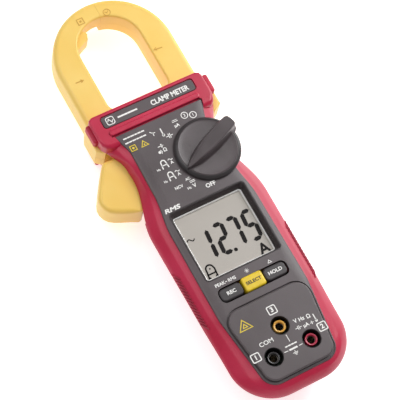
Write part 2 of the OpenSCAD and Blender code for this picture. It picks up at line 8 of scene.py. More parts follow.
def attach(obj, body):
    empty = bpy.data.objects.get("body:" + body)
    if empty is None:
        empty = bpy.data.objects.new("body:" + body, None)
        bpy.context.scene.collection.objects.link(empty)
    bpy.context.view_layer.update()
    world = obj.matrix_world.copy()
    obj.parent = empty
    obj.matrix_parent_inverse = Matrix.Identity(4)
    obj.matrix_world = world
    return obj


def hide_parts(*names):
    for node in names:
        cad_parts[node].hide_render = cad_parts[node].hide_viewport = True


# Clamp meter lying on its back: +Z out of the front panel, +Y towards the jaw.
# Shapes are worked in millimetres here and scaled to metres as each piece is made.
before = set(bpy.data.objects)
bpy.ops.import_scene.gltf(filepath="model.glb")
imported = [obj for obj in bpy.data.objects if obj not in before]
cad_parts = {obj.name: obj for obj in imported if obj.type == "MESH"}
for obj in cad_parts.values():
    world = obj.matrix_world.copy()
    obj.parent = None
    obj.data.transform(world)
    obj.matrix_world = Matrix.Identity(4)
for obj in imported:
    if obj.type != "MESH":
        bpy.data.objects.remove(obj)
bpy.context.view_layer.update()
scene = bpy.context.scene
mm = 0.001
print("frame loaded:", len(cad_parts), "parts from the CAD model")


def toLinear(hexColour):
    parts = [int(hexColour[i:i + 2], 16) / 255 for i in (1, 3, 5)]
    return [c / 12.92 if c <= 0.04045 else ((c + 0.055) / 1.055) ** 2.4 for c in parts] + [1.0]


def addNode(tree, kind, settings=None, links=None):
    node = tree.nodes.new(kind)
    for key, value in (settings or {}).items():
        if hasattr(node, key):
            setattr(node, key, value)
        else:
            node.inputs[key].default_value = value
    for key, socket in (links or {}).items():
        tree.links.new(socket, node.inputs[key])
    return node


def addPiece(name, bm, body, material, replaces=(), sharp=35, weighted=True):
    if weighted:
        bmesh.ops.remove_doubles(bm, verts=bm.verts, dist=0.0005)
        bmesh.ops.recalc_face_normals(bm, faces=bm.faces)
    bm.transform(Matrix.Scale(mm, 4))
    mesh = bpy.data.meshes.new(name)
    bm.to_mesh(mesh)
    bm.free()
    piece = bpy.data.objects.new(name, mesh)
    scene.collection.objects.link(piece)
    finishPiece(piece, body, material, replaces, sharp, weighted)
    return piece


def finishPiece(piece, body, material, replaces=(), sharp=35, weighted=True):
    piece.data.materials.clear()
    piece.data.materials.append(material)
    for face in piece.data.polygons:
        face.use_smooth = True
    piece.data.set_sharp_from_angle(angle=math.radians(sharp))
    if weighted:
        shade = piece.modifiers.new("even shading", "WEIGHTED_NORMAL")
        shade.keep_sharp = True
        shade.weight = 80
    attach(piece, body)
    if replaces:
        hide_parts(*replaces)


def toObject(bm, name="tool"):
    bmesh.ops.remove_doubles(bm, verts=bm.verts, dist=0.0005)
    bmesh.ops.recalc_face_normals(bm, faces=bm.faces)
    bm.transform(Matrix.Scale(mm, 4))
    mesh = bpy.data.meshes.new(name)
    bm.to_mesh(mesh)
    bm.free()
    thing = bpy.data.objects.new(name, mesh)
    scene.collection.objects.link(thing)
    return thing


def combine(base, others, operation="DIFFERENCE"):
    # joins or cuts closed solids, then keeps only the result
    for other in others:
        step = base.modifiers.new("cut", "BOOLEAN")
        step.operation = operation
        step.solver = "MANIFOLD"
        step.object = other
    bpy.context.view_layer.update()
    result = bpy.data.meshes.new_from_object(base.evaluated_get(bpy.context.evaluated_depsgraph_get()))
    base.modifiers.clear()
    base.data = result
    for other in others:
        bpy.data.objects.remove(other)
    return base


def insetLoop(loop, distance, radii=None):
    # moves each corner of a counter-clockwise outline inwards along its mitre
    count = len(loop)
    made = []
    for i, here in enumerate(loop):
        before, after = loop[i - 1], loop[(i + 1) % count]
        a = Vector((here[0] - before[0], here[1] - before[1])).normalized()
        b = Vector((after[0] - here[0], after[1] - here[1])).normalized()
        normal = Vector((-a[1] - b[1], a[0] + b[0]))
        if normal.length < 1e-6:
            normal = Vector((-a[1], a[0]))
        normal.normalize()
        mitre = 1 / max(0.5, abs(normal.dot(Vector((-a[1], a[0])))))
        d = distance * (radii[i] if radii else 1) * mitre
        made.append((here[0] + normal[0] * d, here[1] + normal[1] * d))
    return made


def loft(bm, rings, closeStart=True, closeEnd=True):
    rows = [[bm.verts.new(p) for p in ring] for ring in rings]
    count = len(rings[0])
    for low, high in zip(rows, rows[1:]):
        for i in range(count):
            j = (i + 1) % count
            bm.faces.new((low[i], low[j], high[j], high[i]))
    if closeStart:
        bm.faces.new(list(reversed(rows[0])))
    if closeEnd:
        bm.faces.new(rows[-1])
    return bm


def pillow(bm, loop, z0, z1, top=0.0, bottom=0.0, radii=None, steps=4):
    # a slab of that outline with rounded edges above and below
    rings = []
    levels = []
    for k in range(steps + 1 if bottom else 1):
        a = math.radians(90 * k / steps) if bottom else math.pi / 2
        levels.append((bottom * (1 - math.sin(a)), bottom * (1 - math.cos(a)), 0))
    for k in range(steps + 1 if top else 1):
        a = math.radians(90 * k / steps) if top else 0
        levels.append((top * (1 - math.cos(a)), top * (1 - math.sin(a)), 1))
    for inset, drop, upper in levels:
        flat = insetLoop(loop, inset, radii)
        ring = []
        for i, p in enumerate(flat):
            share = radii[i] if radii else 1
            z = z1 - drop * share if upper else z0 + drop * share
            ring.append((p[0], p[1], z))
        rings.append(ring)
    return loft(bm, rings)


def lathe(bm, at, profile, steps=72):
    # profile is a closed line of (radius, z); radius 0 meets the axis
    rings = []
    for r, z in profile:
        rings.append([(at[0] + max(r, 0.001) * math.cos(2 * math.pi * i / steps),
                       at[1] + max(r, 0.001) * math.sin(2 * math.pi * i / steps), z) for i in range(steps)])
    if profile[0] == profile[-1]:
        return loft(bm, rings, False, False)
    return loft(bm, rings)


def roundedBox(centre, size, r, steps=6):
    loop = []
    for sx, sy, start in ((1, 1, 0), (-1, 1, 90), (-1, -1, 180), (1, -1, 270)):
        cx, cy = centre[0] + sx * (size[0] / 2 - r), centre[1] + sy * (size[1] / 2 - r)
        for k in range(steps + 1):
            a = math.radians(start + 90 * k / steps)
            loop.append((cx + r * math.cos(a), cy + r * math.sin(a)))
    return loop


def stroke(bm, points, width, z, height=0.07, closed=False):
    # one printed or raised line of that width, mitred at each point so that nothing overlaps
    pts = [Vector((p[0], p[1])) for p in points]
    if not closed:
        pts[0] = pts[0] + (pts[0] - pts[1]).normalized() * width * 0.35
        pts[-1] = pts[-1] + (pts[-1] - pts[-2]).normalized() * width * 0.35
    rows = []
    last = len(pts) - 1
    for i, here in enumerate(pts):
        a = (here - pts[i - 1]).normalized() if i or closed else (pts[1] - here).normalized()
        b = (pts[(i + 1) % len(pts)] - here).normalized() if i < last or closed else a
        middle = Vector((-a[1] - b[1], a[0] + b[0])).normalized()
        reach = middle * (width / 2 / max(0.5, middle.dot(Vector((-a[1], a[0])))))
        left, right = here + reach, here - reach
        rows.append([(right[0], right[1], z - 0.2), (left[0], left[1], z - 0.2),
                     (left[0], left[1], z + height), (right[0], right[1], z + height)])
    if closed:
        rows.append(rows[0])
    loft(bm, rows, not closed, not closed)


def frameLine(bm, centre, size, r, width, z, height=0.07):
    outer = roundedBox(centre, size, r, 4)
    inner = roundedBox(centre, (size[0] - 2 * width, size[1] - 2 * width), r - width * 0.8, 4)
    order = [(outer, z - 0.2), (outer, z + height), (inner, z + height), (inner, z - 0.2), (outer, z - 0.2)]
    loft(bm, [[(p[0], p[1], level) for p in loop] for loop, level in order], False, False)


def disc(bm, at, r, z, height=0.07, steps=20):
    loop = [(at[0] + r * math.cos(2 * math.pi * i / steps), at[1] + r * math.sin(2 * math.pi * i / steps))
            for i in range(steps)]
    pillow(bm, loop, z - 0.2, z + height)


def ringPoints(at, r, steps=20, start=0, end=360):
    return [(at[0] + r * math.cos(math.radians(start + (end - start) * i / steps)),
             at[1] + r * math.sin(math.radians(start + (end - start) * i / steps))) for i in range(steps + 1)]


def letters(bm, text, at, height, z, angle=0.0, stretch=1.0, slant=0.0, bold=0.0, thick=0.07):
    # lettering from Blender's own typeface, centred on a place
    curve = bpy.data.curves.new("letters", "FONT")
    curve.body = text
    curve.align_x = "CENTER"
    curve.align_y = "CENTER"
    curve.size = height * 1.37  # capitals are 0.73 of the size
    curve.extrude = thick / 2
    curve.offset = bold * 1.5
    curve.resolution_u = 3
    curve.shear = slant
    helper = bpy.data.objects.new("letters", curve)
    scene.collection.objects.link(helper)
    bpy.context.view_layer.update()
    mesh = bpy.data.meshes.new_from_object(helper.evaluated_get(bpy.context.evaluated_depsgraph_get()))
    mesh.transform(Matrix.Translation((at[0], at[1], z)) @ Matrix.Rotation(math.radians(angle), 4, "Z")
                   @ Matrix.Diagonal((stretch, 1, 1, 1)))
    bm.from_mesh(mesh)
    bpy.data.objects.remove(helper)
    bpy.data.curves.remove(curve)
    bpy.data.meshes.remove(mesh)


cameraLook = {
    "place": (-0.2821, -0.2834, 0.9054),
    "right": (0.86785, -0.48045, 0.12654),
    "up": (0.40222, 0.82892, 0.38872),
    "back": (-0.29165, -0.28646, 0.91262),
    "lens": 171,
}
camera = bpy.data.objects.new("camera", bpy.data.cameras.new("camera"))
scene.collection.objects.link(camera)
camera.data.lens = cameraLook["lens"]
camera.data.sensor_width = 36
camera.matrix_world = Matrix([
    [cameraLook["right"][i], cameraLook["up"][i], cameraLook["back"][i],
    cameraLook["place"][i]] for i in range(3)
] + [[0, 0, 0, 1]])
scene.camera = camera
scene.view_settings.view_transform = "Standard"


def startMaterial(name, values):
    material = bpy.data.materials.new(name)
    material.use_nodes = True
    tree = material.node_tree
    tree.nodes.clear()
    shader = addNode(tree, "ShaderNodeBsdfPrincipled", values)
    out = addNode(tree, "ShaderNodeOutputMaterial", {}, {"Surface": shader.outputs["BSDF"]})
    out.location = (300, 0)
    place = addNode(tree, "ShaderNodeTexCoord")
    return material, tree, shader, place.outputs["Object"]


def mouldedPlastic(name, look):
    # cloudy colour from the pigment, spark-eroded grain in the bump, and a roughness that
    # wanders as a handled shell's does
    material, tree, shader, place = startMaterial(name, {
        "Roughness": look["roughness"],
        "IOR": look.get("ior", 1.54),
        "Specular IOR Level": look.get("specular", 0.5),
        "Coat Weight": look.get("coat", 0.0),
        "Coat Roughness": look.get("coatRoughness", 0.3),
        "Subsurface Weight": look.get("glow", 0.0),
        "Subsurface Scale": 0.002,
    })
    clouds = addNode(tree, "ShaderNodeTexNoise", {"Scale": 1 / (look["cloudMm"] * mm), "Detail": 3.0},
        {"Vector": place})
    grain = addNode(tree, "ShaderNodeTexNoise", {"Scale": 1 / (look["grainMm"] * mm), "Detail": 2.0},
        {"Vector": place})
    colours = addNode(tree, "ShaderNodeValToRGB", {}, {"Fac": clouds.outputs["Fac"]})
    colours.color_ramp.elements[0].position = 0.3
    colours.color_ramp.elements[0].color = toLinear(look["dark"])
    colours.color_ramp.elements[1].position = 0.7
    colours.color_ramp.elements[1].color = toLinear(look["light"])
    speckle = addNode(tree, "ShaderNodeMix", {"data_type": "RGBA", "blend_type": "MULTIPLY"})
    speckle.inputs[0].default_value = look.get("speckle", 0.12)
    tree.links.new(colours.outputs["Color"], speckle.inputs[6])
    tree.links.new(grain.outputs["Color"], speckle.inputs[7])
    tree.links.new(speckle.outputs[2], shader.inputs["Base Color"])
    rough = addNode(tree, "ShaderNodeMapRange", {
        "From Min": 0.3, "From Max": 0.7, "To Min": look["roughness"] - 0.06,
        "To Max": look["roughness"] + 0.06,
    }, {"Value": clouds.outputs["Fac"]})
    tree.links.new(rough.outputs["Result"], shader.inputs["Roughness"])
    bump = addNode(tree, "ShaderNodeBump", {"Strength": look["bump"], "Distance": 0.0001},
        {"Height": grain.outputs["Fac"]})
    tree.links.new(bump.outputs["Normal"], shader.inputs["Normal"])
    return material


def metal(name, look):
    # machining or rolling lines drawn along one way, with small changes of tone
    material, tree, shader, place = startMaterial(name, {"Metallic": 1.0, "Roughness": look["roughness"]})
    lines = addNode(tree, "ShaderNodeMapping", {"Scale": look["lines"]}, {"Vector": place})
    marks = addNode(tree, "ShaderNodeTexNoise", {"Scale": 1 / (look["markMm"] * mm), "Detail": 2.0},
                    {"Vector": lines.outputs["Vector"]})
    tone = addNode(tree, "ShaderNodeValToRGB", {}, {"Fac": marks.outputs["Fac"]})
    tone.color_ramp.elements[0].color = toLinear(look["dark"])
    tone.color_ramp.elements[1].color = toLinear(look["light"])
    tree.links.new(tone.outputs["Color"], shader.inputs["Base Color"])
    rough = addNode(tree, "ShaderNodeMapRange", {
        "To Min": look["roughness"] - 0.08, "To Max": look["roughness"] + 0.1},
        {"Value": marks.outputs["Fac"]})
    tree.links.new(rough.outputs["Result"], shader.inputs["Roughness"])
    bump = addNode(tree, "ShaderNodeBump", {"Strength": 0.15, "Distance": 0.00005},
        {"Height": marks.outputs["Fac"]})
    tree.links.new(bump.outputs["Normal"], shader.inputs["Normal"])
    return material


# Real spark-eroded grain is about 0.1 mm; it is coarsened to 0.3 to 0.8 mm here so that it shows.
# a deep saturated red with a soft broad sheen along its rounded edges
redAbs = mouldedPlastic("moulded crimson ABS", {
    "dark": "#BC0A3A", "light": "#C81A48", "roughness": 0.4, "cloudMm": 22, "grainMm": 0.6, "bump": 0.25,
    "speckle": 0.08, "specular": 0.4, "coat": 0.3, "coatRoughness": 0.28})
# the same red but duller, so that the grip reads as softer than the shell
redRubber = mouldedPlastic("overmoulded crimson grip rubber", {
    "dark": "#B80C34", "light": "#C61A42", "roughness": 0.5, "cloudMm": 18, "grainMm": 0.5, "bump": 0.35})
# a darker matt red, so that each rib stands off the rubber behind it; the darkness is painted shade, standing
# for the shadows between the ribs
ribShadeRubber = mouldedPlastic("grip rubber darkened as painted rib shade", {
    "dark": "#980A2E", "light": "#A6143A", "roughness": 0.6, "cloudMm": 18, "grainMm": 0.5, "bump": 0.35})
# a warm, slightly milky yellow with a faint gloss
yellowNylon = mouldedPlastic("moulded yellow nylon", {
    "dark": "#F7CB5E", "light": "#FBD572", "roughness": 0.4, "cloudMm": 30, "grainMm": 0.6, "bump": 0.18,
    "speckle": 0.04, "glow": 0.04, "coat": 0.15})
# a browner, flatter yellow, painted shade for the walls that see less light; the raised jaw marks are drawn
# in it, their relief darkened by painted shade
shadeYellowNylon = mouldedPlastic("yellow nylon darkened as painted shade", {
    "dark": "#CF9E38", "light": "#DDAE4A", "roughness": 0.5, "cloudMm": 8, "grainMm": 0.6, "bump": 0.18,
    "speckle": 0.06})
# a sharp lemon yellow that picks the middle key out of the panel
yellowKeyAbs = mouldedPlastic("moulded signal yellow ABS", {
    "dark": "#E4C21C", "light": "#F0D028", "roughness": 0.35, "cloudMm": 8, "grainMm": 0.4, "bump": 0.12,
    "speckle": 0.06})
# a warm dark grey that breaks light into fine speckle
greyAbs = mouldedPlastic("spark textured grey ABS", {
    "dark": "#4E4446", "light": "#5C5255", "roughness": 0.42, "cloudMm": 26, "grainMm": 0.55, "bump": 0.4,
    "speckle": 0.25, "coat": 0.08, "coatRoughness": 0.4})
# a smoother grey than the panel, so that the knob catches a soft highlight
knobAbs = mouldedPlastic("moulded charcoal ABS", {
    "dark": "#483F41", "light": "#544A4D", "roughness": 0.36, "cloudMm": 14, "grainMm": 0.5, "bump": 0.3,
    "speckle": 0.2, "coat": 0.1, "coatRoughness": 0.3})
# a dull, dark rubbery grey
keyAbs = mouldedPlastic("moulded dark grey key rubber", {
    "dark": "#322D2F", "light": "#3C3739", "roughness": 0.42, "cloudMm": 8, "grainMm": 0.4, "bump": 0.2,
    "speckle": 0.15})
# a near black band that sets the knob off from the panel; partly the ring's own dark colour, partly painted
# shade of the knob skirt's side wall
ringAbsAndShade = mouldedPlastic("dark charcoal ABS deepened as painted skirt shade", {
    "dark": "#262122", "light": "#302A2C", "roughness": 0.36, "cloudMm": 12, "grainMm": 0.5, "bump": 0.25,
    "coat": 0.1})
# a plain black with a weak sheen
blackAbs = mouldedPlastic("moulded black ABS", {
    "dark": "#1A1718", "light": "#232021", "roughness": 0.4, "cloudMm": 12, "grainMm": 0.5, "bump": 0.2})
# a brownish black border that makes the display look brighter; its dark is partly the frame's own colour and
# partly painted shade of the recess walls, which face away from the light
frameAbsAndShade = mouldedPlastic("brown-black ABS deepened as painted recess shade", {
    "dark": "#2C2325", "light": "#372D2F", "roughness": 0.38, "cloudMm": 12, "grainMm": 0.5, "bump": 0.15})
# a tight, wet looking highlight round the lip of the socket
sleeveBlack = mouldedPlastic("turned black nylon", {
    "dark": "#2A2829", "light": "#343132", "roughness": 0.22, "cloudMm": 4, "grainMm": 0.5, "bump": 0.08,
    "coat": 0.4, "coatRoughness": 0.1})
# a glossy red ring that marks the second socket
sleeveRed = mouldedPlastic("turned red nylon", {
    "dark": "#B02440", "light": "#C43452", "roughness": 0.25, "cloudMm": 4, "grainMm": 0.5, "bump": 0.08,
    "coat": 0.4, "coatRoughness": 0.1})
# a glossy orange yellow ring that marks the third socket
sleeveYellow = mouldedPlastic("turned yellow nylon", {
    "dark": "#E9A83C", "light": "#F4BE5C", "roughness": 0.25, "cloudMm": 4, "grainMm": 0.5, "bump": 0.08,
    "coat": 0.4, "coatRoughness": 0.1})
# a thin matt white that stays crisp against the grey
whiteInk = mouldedPlastic("pad printed white ink", {
    "dark": "#F0EEEA", "light": "#FBFAF7", "roughness": 0.5, "cloudMm": 3, "grainMm": 0.3, "bump": 0.1,
    "speckle": 0.05})
# a thin matt yellow, duller than the yellow mouldings
yellowInk = mouldedPlastic("pad printed yellow ink", {
    "dark": "#DCC02C", "light": "#EFD440", "roughness": 0.5, "cloudMm": 3, "grainMm": 0.3, "bump": 0.1,
    "speckle": 0.05})
# a flat black without any shine
blackInk = mouldedPlastic("pad printed black ink", {
    "dark": "#1C1916", "light": "#2A2620", "roughness": 0.5, "cloudMm": 3, "grainMm": 0.3, "bump": 0.1,
    "speckle": 0.05})
# an even, paper like warm grey
lcdFilm = mouldedPlastic("reflective liquid crystal glass", {
    "dark": "#BFB8AF", "light": "#C6BFB7", "roughness": 0.5, "cloudMm": 30, "grainMm": 0.5, "bump": 0.03,
    "speckle": 0.08})
# segments that take light in and give almost none back
lcdInk = mouldedPlastic("switched liquid crystal", {
    "dark": "#120D0D", "light": "#1A1515", "roughness": 0.5, "cloudMm": 3, "grainMm": 0.4, "bump": 0.03,
    "speckle": 0.05, "specular": 0.15})
# a bright white; round the display it is a painted highlight, a thin ring standing for the light caught on
# the frame's lip; the light guide inside is pale of its own
paleAcrylicAndHighlight = mouldedPlastic("pale acrylic and painted highlight edge", {
    "dark": "#F2EFEA", "light": "#FFFFFF", "roughness": 0.2, "cloudMm": 5, "grainMm": 0.5, "bump": 0.02,
    "speckle": 0.03})
# a deep green with a lacquered gloss
boardGreen = mouldedPlastic("solder resist over glass epoxy", {
    "dark": "#14502E", "light": "#1E6A3C", "roughness": 0.35, "cloudMm": 5, "grainMm": 0.8, "bump": 0.2,
    "coat": 0.4})
# a cloudy pale grey that lets some light into its edges
siliconeMat = mouldedPlastic("moulded translucent silicone", {
    "dark": "#B9B8B2", "light": "#C9C8C2", "roughness": 0.5, "cloudMm": 6, "grainMm": 0.5, "bump": 0.1,
    "glow": 0.1})
# a chalky pink with fine slices
pinkRubber = mouldedPlastic("sliced conductive rubber", {
    "dark": "#C07A80", "light": "#DE9BA0", "roughness": 0.6, "cloudMm": 1.2, "grainMm": 0.4, "bump": 0.3})
# a waxy off white
whiteAcetal = mouldedPlastic("moulded ivory acetal", {
    "dark": "#D6D2C4", "light": "#E4E0D4", "roughness": 0.4, "cloudMm": 8, "grainMm": 0.5, "bump": 0.1})
# a dead matt charcoal
chipEpoxy = mouldedPlastic("moulded chip epoxy", {
    "dark": "#1B1B1C", "light": "#29292A", "roughness": 0.6, "cloudMm": 3, "grainMm": 0.3, "bump": 0.3})
# a tight blue black skin with a small highlight
sleevedCap = mouldedPlastic("shrunk capacitor sleeve", {
    "dark": "#232838", "light": "#31384C", "roughness": 0.3, "cloudMm": 4, "grainMm": 0.4, "bump": 0.1})
# a pale blue bead with a soft shine
resistorLacquer = mouldedPlastic("dipped blue resistor lacquer", {
    "dark": "#7FAEBE", "light": "#9AC2CE", "roughness": 0.35, "cloudMm": 3, "grainMm": 0.4, "bump": 0.15})
# a slick dark film stretched over the cell
cellWrap = mouldedPlastic("printed cell wrap", {
    "dark": "#3A3F46", "light": "#565C66", "roughness": 0.28, "cloudMm": 7, "grainMm": 0.5, "bump": 0.05,
    "coat": 0.3})
# a plain satin blue
wireBlue = mouldedPlastic("extruded blue wire insulation", {
    "dark": "#26468C", "light": "#3458A4", "roughness": 0.4, "cloudMm": 3, "grainMm": 0.4, "bump": 0.1})
# a cool grey shine, drawn out along the part
steelPlate = metal("zinc plated steel", {
    "dark": "#9A9CA0", "light": "#D2D4D8", "roughness": 0.32, "lines": (1, 6, 1), "markMm": 2})
# a warm silver with fine turning lines
nickelBrass = metal("nickel plated brass", {
    "dark": "#8C8478", "light": "#C9C1B2", "roughness": 0.26, "lines": (1, 1, 8), "markMm": 2})
# a golden shine with rolling lines
brassStrip = metal("rolled phosphor bronze", {
    "dark": "#B98B4A", "light": "#DDB574", "roughness": 0.3, "lines": (6, 1, 1), "markMm": 2})
# a reddish brown glow in close lines, as wound wire has
copperCoil = metal("enamelled copper winding", {
    "dark": "#8A4520", "light": "#C9743C", "roughness": 0.35, "lines": (1, 12, 1), "markMm": 3})
# a dull grey with the edges of stacked sheets
coreIron = metal("laminated silicon steel", {
    "dark": "#6E7074", "light": "#9EA0A4", "roughness": 0.4, "lines": (1, 1, 14), "markMm": 3})

# almost nothing to see but a sharp reflection, with a faint haze of fine scratches
windowClear, windowTree, windowShader, windowPlace = startMaterial("cast clear acrylic", {
    "Base Color": toLinear("#1C1C1C"), "Roughness": 0.06, "IOR": 1.49, "Alpha": 0.03,
    "Specular IOR Level": 0.3})
haze = addNode(windowTree, "ShaderNodeTexNoise", {"Scale": 1 / (9 * mm)}, {"Vector": windowPlace})
hazeRange = addNode(windowTree, "ShaderNodeMapRange", {"To Min": 0.04, "To Max": 0.12},
    {"Value": haze.outputs["Fac"]})
windowTree.links.new(hazeRange.outputs["Result"], windowShader.inputs["Roughness"])

cadFinishes = {
    "battery_cover_screw": steelPlate, "case_screws": steelPlate, "lcd_glass": lcdFilm,
    "light_guide": paleAcrylicAndHighlight, "lcd_holder": blackAbs, "zebra_strips": pinkRubber, "main_board": boardGreen,
    "board_screws": steelPlate, "measuring_chip": chipEpoxy, "processor_chip": chipEpoxy,
    "crystal": steelPlate,
    "capacitors": sleevedCap, "input_resistors": resistorLacquer, "buzzer": blackAbs,
    "backlight_leds": whiteAcetal,
    "switch_rotor": whiteAcetal, "wiper_contacts": brassStrip, "detent_balls": steelPlate,
    "detent_springs": steelPlate, "button_mat": siliconeMat, "socket_common": nickelBrass,
    "socket_volts": nickelBrass, "socket_third": nickelBrass, "fixed_core": coreIron, "moving_core": coreIron,
    "fixed_coil": copperCoil, "moving_coil": copperCoil, "coil_leads": wireBlue, "pivot_pin": steelPlate,
    "jaw_spring": steelPlate, "battery_left": cellWrap, "battery_right": cellWrap,
    "battery_springs": steelPlate, "battery_plates": steelPlate, "battery_cover": blackAbs,
}
for nodeName, finish in cadFinishes.items():
    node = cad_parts[nodeName]
    node.data.materials.clear()
    node.data.materials.append(finish)
print("materials made:", len(bpy.data.materials))

caseShape = {
    "stations": [(-94, 32.3), (-60, 33.0), (-16, 33.3), (18, 26.3), (24, 26.6), (44, 33.8), (56, 33.4)],
    "bottom": -117.0, "cornerRadius": 23.0, "top": 54.8, "topCorner": 4.0,
    "panelStations": [(-70, 25.4), (-20, 25.2), (4, 22.4), (28, 22.0), (42, 25.4)],
    "panelBottom": -111.4, "panelTop": 40.4,
}


def halfAt(stations, y):
    i = 0
    while i < len(stations) - 2 and y >= stations[i + 1][0]:
        i += 1
    t = max(0, min(1, (y - stations[i][0]) / (stations[i + 1][0] - stations[i][0])))
    return stations[i][1] + (stations[i + 1][1] - stations[i][1]) * (1 - math.cos(math.pi * t)) / 2


def mirrored(right):
    # right side from the bottom centre to the top centre; the left side comes back down
    return right + [(-x, y) for x, y in reversed(right) if x > 0.01]


def caseLoop(bottomOut=0.0):
    s = caseShape
    r, half = s["cornerRadius"], s["stations"][0][1]
    right = [(x, s["bottom"]) for x in (0.0, 2.5, 5.0, 7.5)]
    right += [(half - r + r * math.sin(math.radians(a)), s["bottom"] + r * (1 - math.cos(math.radians(a))))
              for a in range(0, 90, 5)]
    ys = [-94 + 144.8 * k / 84 for k in range(85)]
    right += [(halfAt(s["stations"], y), y) for y in ys]
    r = s["topCorner"]
    right += [(33.4 - r + r * math.cos(math.radians(a)), s["top"] - r + r * math.sin(math.radians(a)))
              for a in (22.5, 45, 67.5, 90)]
    right += [(x, s["top"]) for x in (20, 10, 0.0)]
    return mirrored(right)


def panelLoop():
    # the same number of corners as the case, so that the two can be blended
    s = caseShape
    r = 8.2
    right = [(x, s["panelBottom"]) for x in (0.0, 4.0, 8.0, 11.0)]
    right += [(13 + r * math.sin(math.radians(a)), s["panelBottom"] + r * (1 - math.cos(math.radians(a))))
              for a in range(0, 90, 5)]
    low = s["panelBottom"] + r
    for k in range(85):
        y = low + (s["panelTop"] - low) * k / 84
        x = 21.2 + (25.4 - 21.2) * (y - low) / (-70 - low) if y < -70 else halfAt(s["panelStations"], y)
        right.append((x, y))
    right += [(x, s["panelTop"]) for x in (19.8, 17, 14, 11)]
    right += [(x, s["panelTop"]) for x in (8, 4, 0.0)]
    return mirrored(right)


def blended(a, b, share):
    return [(p[0] + (q[0] - p[0]) * share, p[1] + (q[1] - p[1]) * share) for p, q in zip(a, b)]


outside = caseLoop()
panelEdge = panelLoop()


def at(loop, z):
    return [(p[0], p[1], z) for p in loop]


def block(x0, x1, y0, y1, z0, z1):
    bm = bmesh.new()
    return toObject(pillow(bm, [(x0, y0), (x1, y0), (x1, y1), (x0, y1)], z0, z1))


def rod(centre, r, z0, z1, steps=48):
    bm = bmesh.new()
    return toObject(lathe(bm, centre, [(r, z0), (r, z1)], steps))


def slab(loop, z0, z1, top=0.0, bottom=0.0):
    return toObject(pillow(bmesh.new(), loop, z0, z1, top, bottom))


displayAt = (0, -29.9)
displayHoleAt = (0.3, -29.5)
displaySize = (44.0, 41.2)
keyRow = -59.5
knobAt = (14.1, 13.8)
knobTurn = 22.3
sockets = {"black": (-10.8, -98.5), "red": (10.8, -98.5), "yellow": (0, -85.6)}
caseScrews = [(-20, -103), (20, -103), (-23.5, -58), (23.5, -58), (22, 45)]
pivot = (-12, 38.5)

def jawRoom():
    # the ways through the header: left for the trigger, right for the fixed arm, top for the jaw
    return [block(-60, -16, -6, 58, 7.4, 24.6), block(23, 60, 33, 58, 7.4, 24.6),
            block(-40, 40, 49, 61, 7.4, 24.6)]


frontLook = {
    # inset, height: the wall from the seam out to the widest line
    "wall": [(3.3, 16.06), (3.1, 16.3), (2.2, 18.6), (1.2, 21.0), (0.45, 22.8)],
    # share of the way in to the panel, height: over the edge and up to the panel
    "rim": [(0.0, 23.9), (0.03, 24.7), (0.1, 25.6), (0.22, 26.6), (0.36, 27.6), (0.48, 28.4), (0.56, 28.9),
            (0.64, 29.25), (0.8, 29.8), (0.92, 30.3), (0.975, 30.6), (1.04, 30.7)],
    "collarTop": 32.0, "collarRound": 1.2,
    "barX": -1.0, "barHalf": 26.2, "barY": 42.6, "barWide": 3.4, "barTop": 33.0,
}
rings = [at(insetLoop(outside, inset), z) for inset, z in frontLook["wall"]]
rings += [at(blended(outside, panelEdge, share), z) for share, z in frontLook["rim"]]
frontShell = toObject(loft(bmesh.new(), rings), "front_shell")

collarLoop = [(-29.4, 35.2), (-20, 35.2), (0, 35.2), (20, 35.2), (28.6, 35.2), (30.6, 36.6), (31.8, 38.8),
              (32.3, 41.6),
              (32.3, 47), (32.2, 52.2), (31.5, 54.2), (29.6, 55.2), (15, 55.2), (0, 55.2), (-15, 55.2),
              (-31.2, 55.2),
              (-33.1, 54.2), (-33.8, 52.2), (-33.8, 47), (-33.8, 41.6), (-33.3, 38.8), (-31.8, 36.6)]
collarEdge = [2.4 if p[1] < 36 else 1.7 if p[1] < 40 else 1 for p in collarLoop]
collarBlock = toObject(pillow(bmesh.new(), collarLoop, 24.6, frontLook["collarTop"],
                              frontLook["collarRound"], 0.3, collarEdge, 5))
bar = slab(roundedBox((frontLook["barX"], frontLook["barY"]),
           (2 * frontLook["barHalf"], frontLook["barWide"]), 1.6), 30.5, frontLook["barTop"], 0.8)
combine(frontShell, [collarBlock, bar], "UNION")

innerLoop = insetLoop(outside, 2.2)
cavity = toObject(loft(bmesh.new(), [at(insetLoop(innerLoop, i), z) for i, z in
                                     ((3.4, 15.5), (3.4, 16.2), (1.2, 21.0), (0.6, 25.4), (3.0, 27.0),
                                     (3.6, 27.4))]))
cuts = [cavity,
        *jawRoom(), slab(insetLoop(panelEdge, -0.12), 29.45, 36),
        slab(roundedBox((-0.9, 49.5), (54.4, 7.2), 1.8), 30.9, 36),
        slab(roundedBox((-1.0, 40.75), (51.6, 0.7), 0.3), 30.6, 36),
        rod(knobAt, 6.06, 20, 36),
        slab(roundedBox(displayHoleAt, (44.4, 41.6), 2.0), 20, 36),
        slab(roundedBox((0, keyRow), (39.6, 8.8), 3.4), 20, 36)]
cuts += [rod(place, 4.85, 20, 36) for place in sockets.values()]
combine(frontShell, cuts)
finishPiece(frontShell, "case", redAbs, ["front_case"], sharp=32)
print("front shell made")

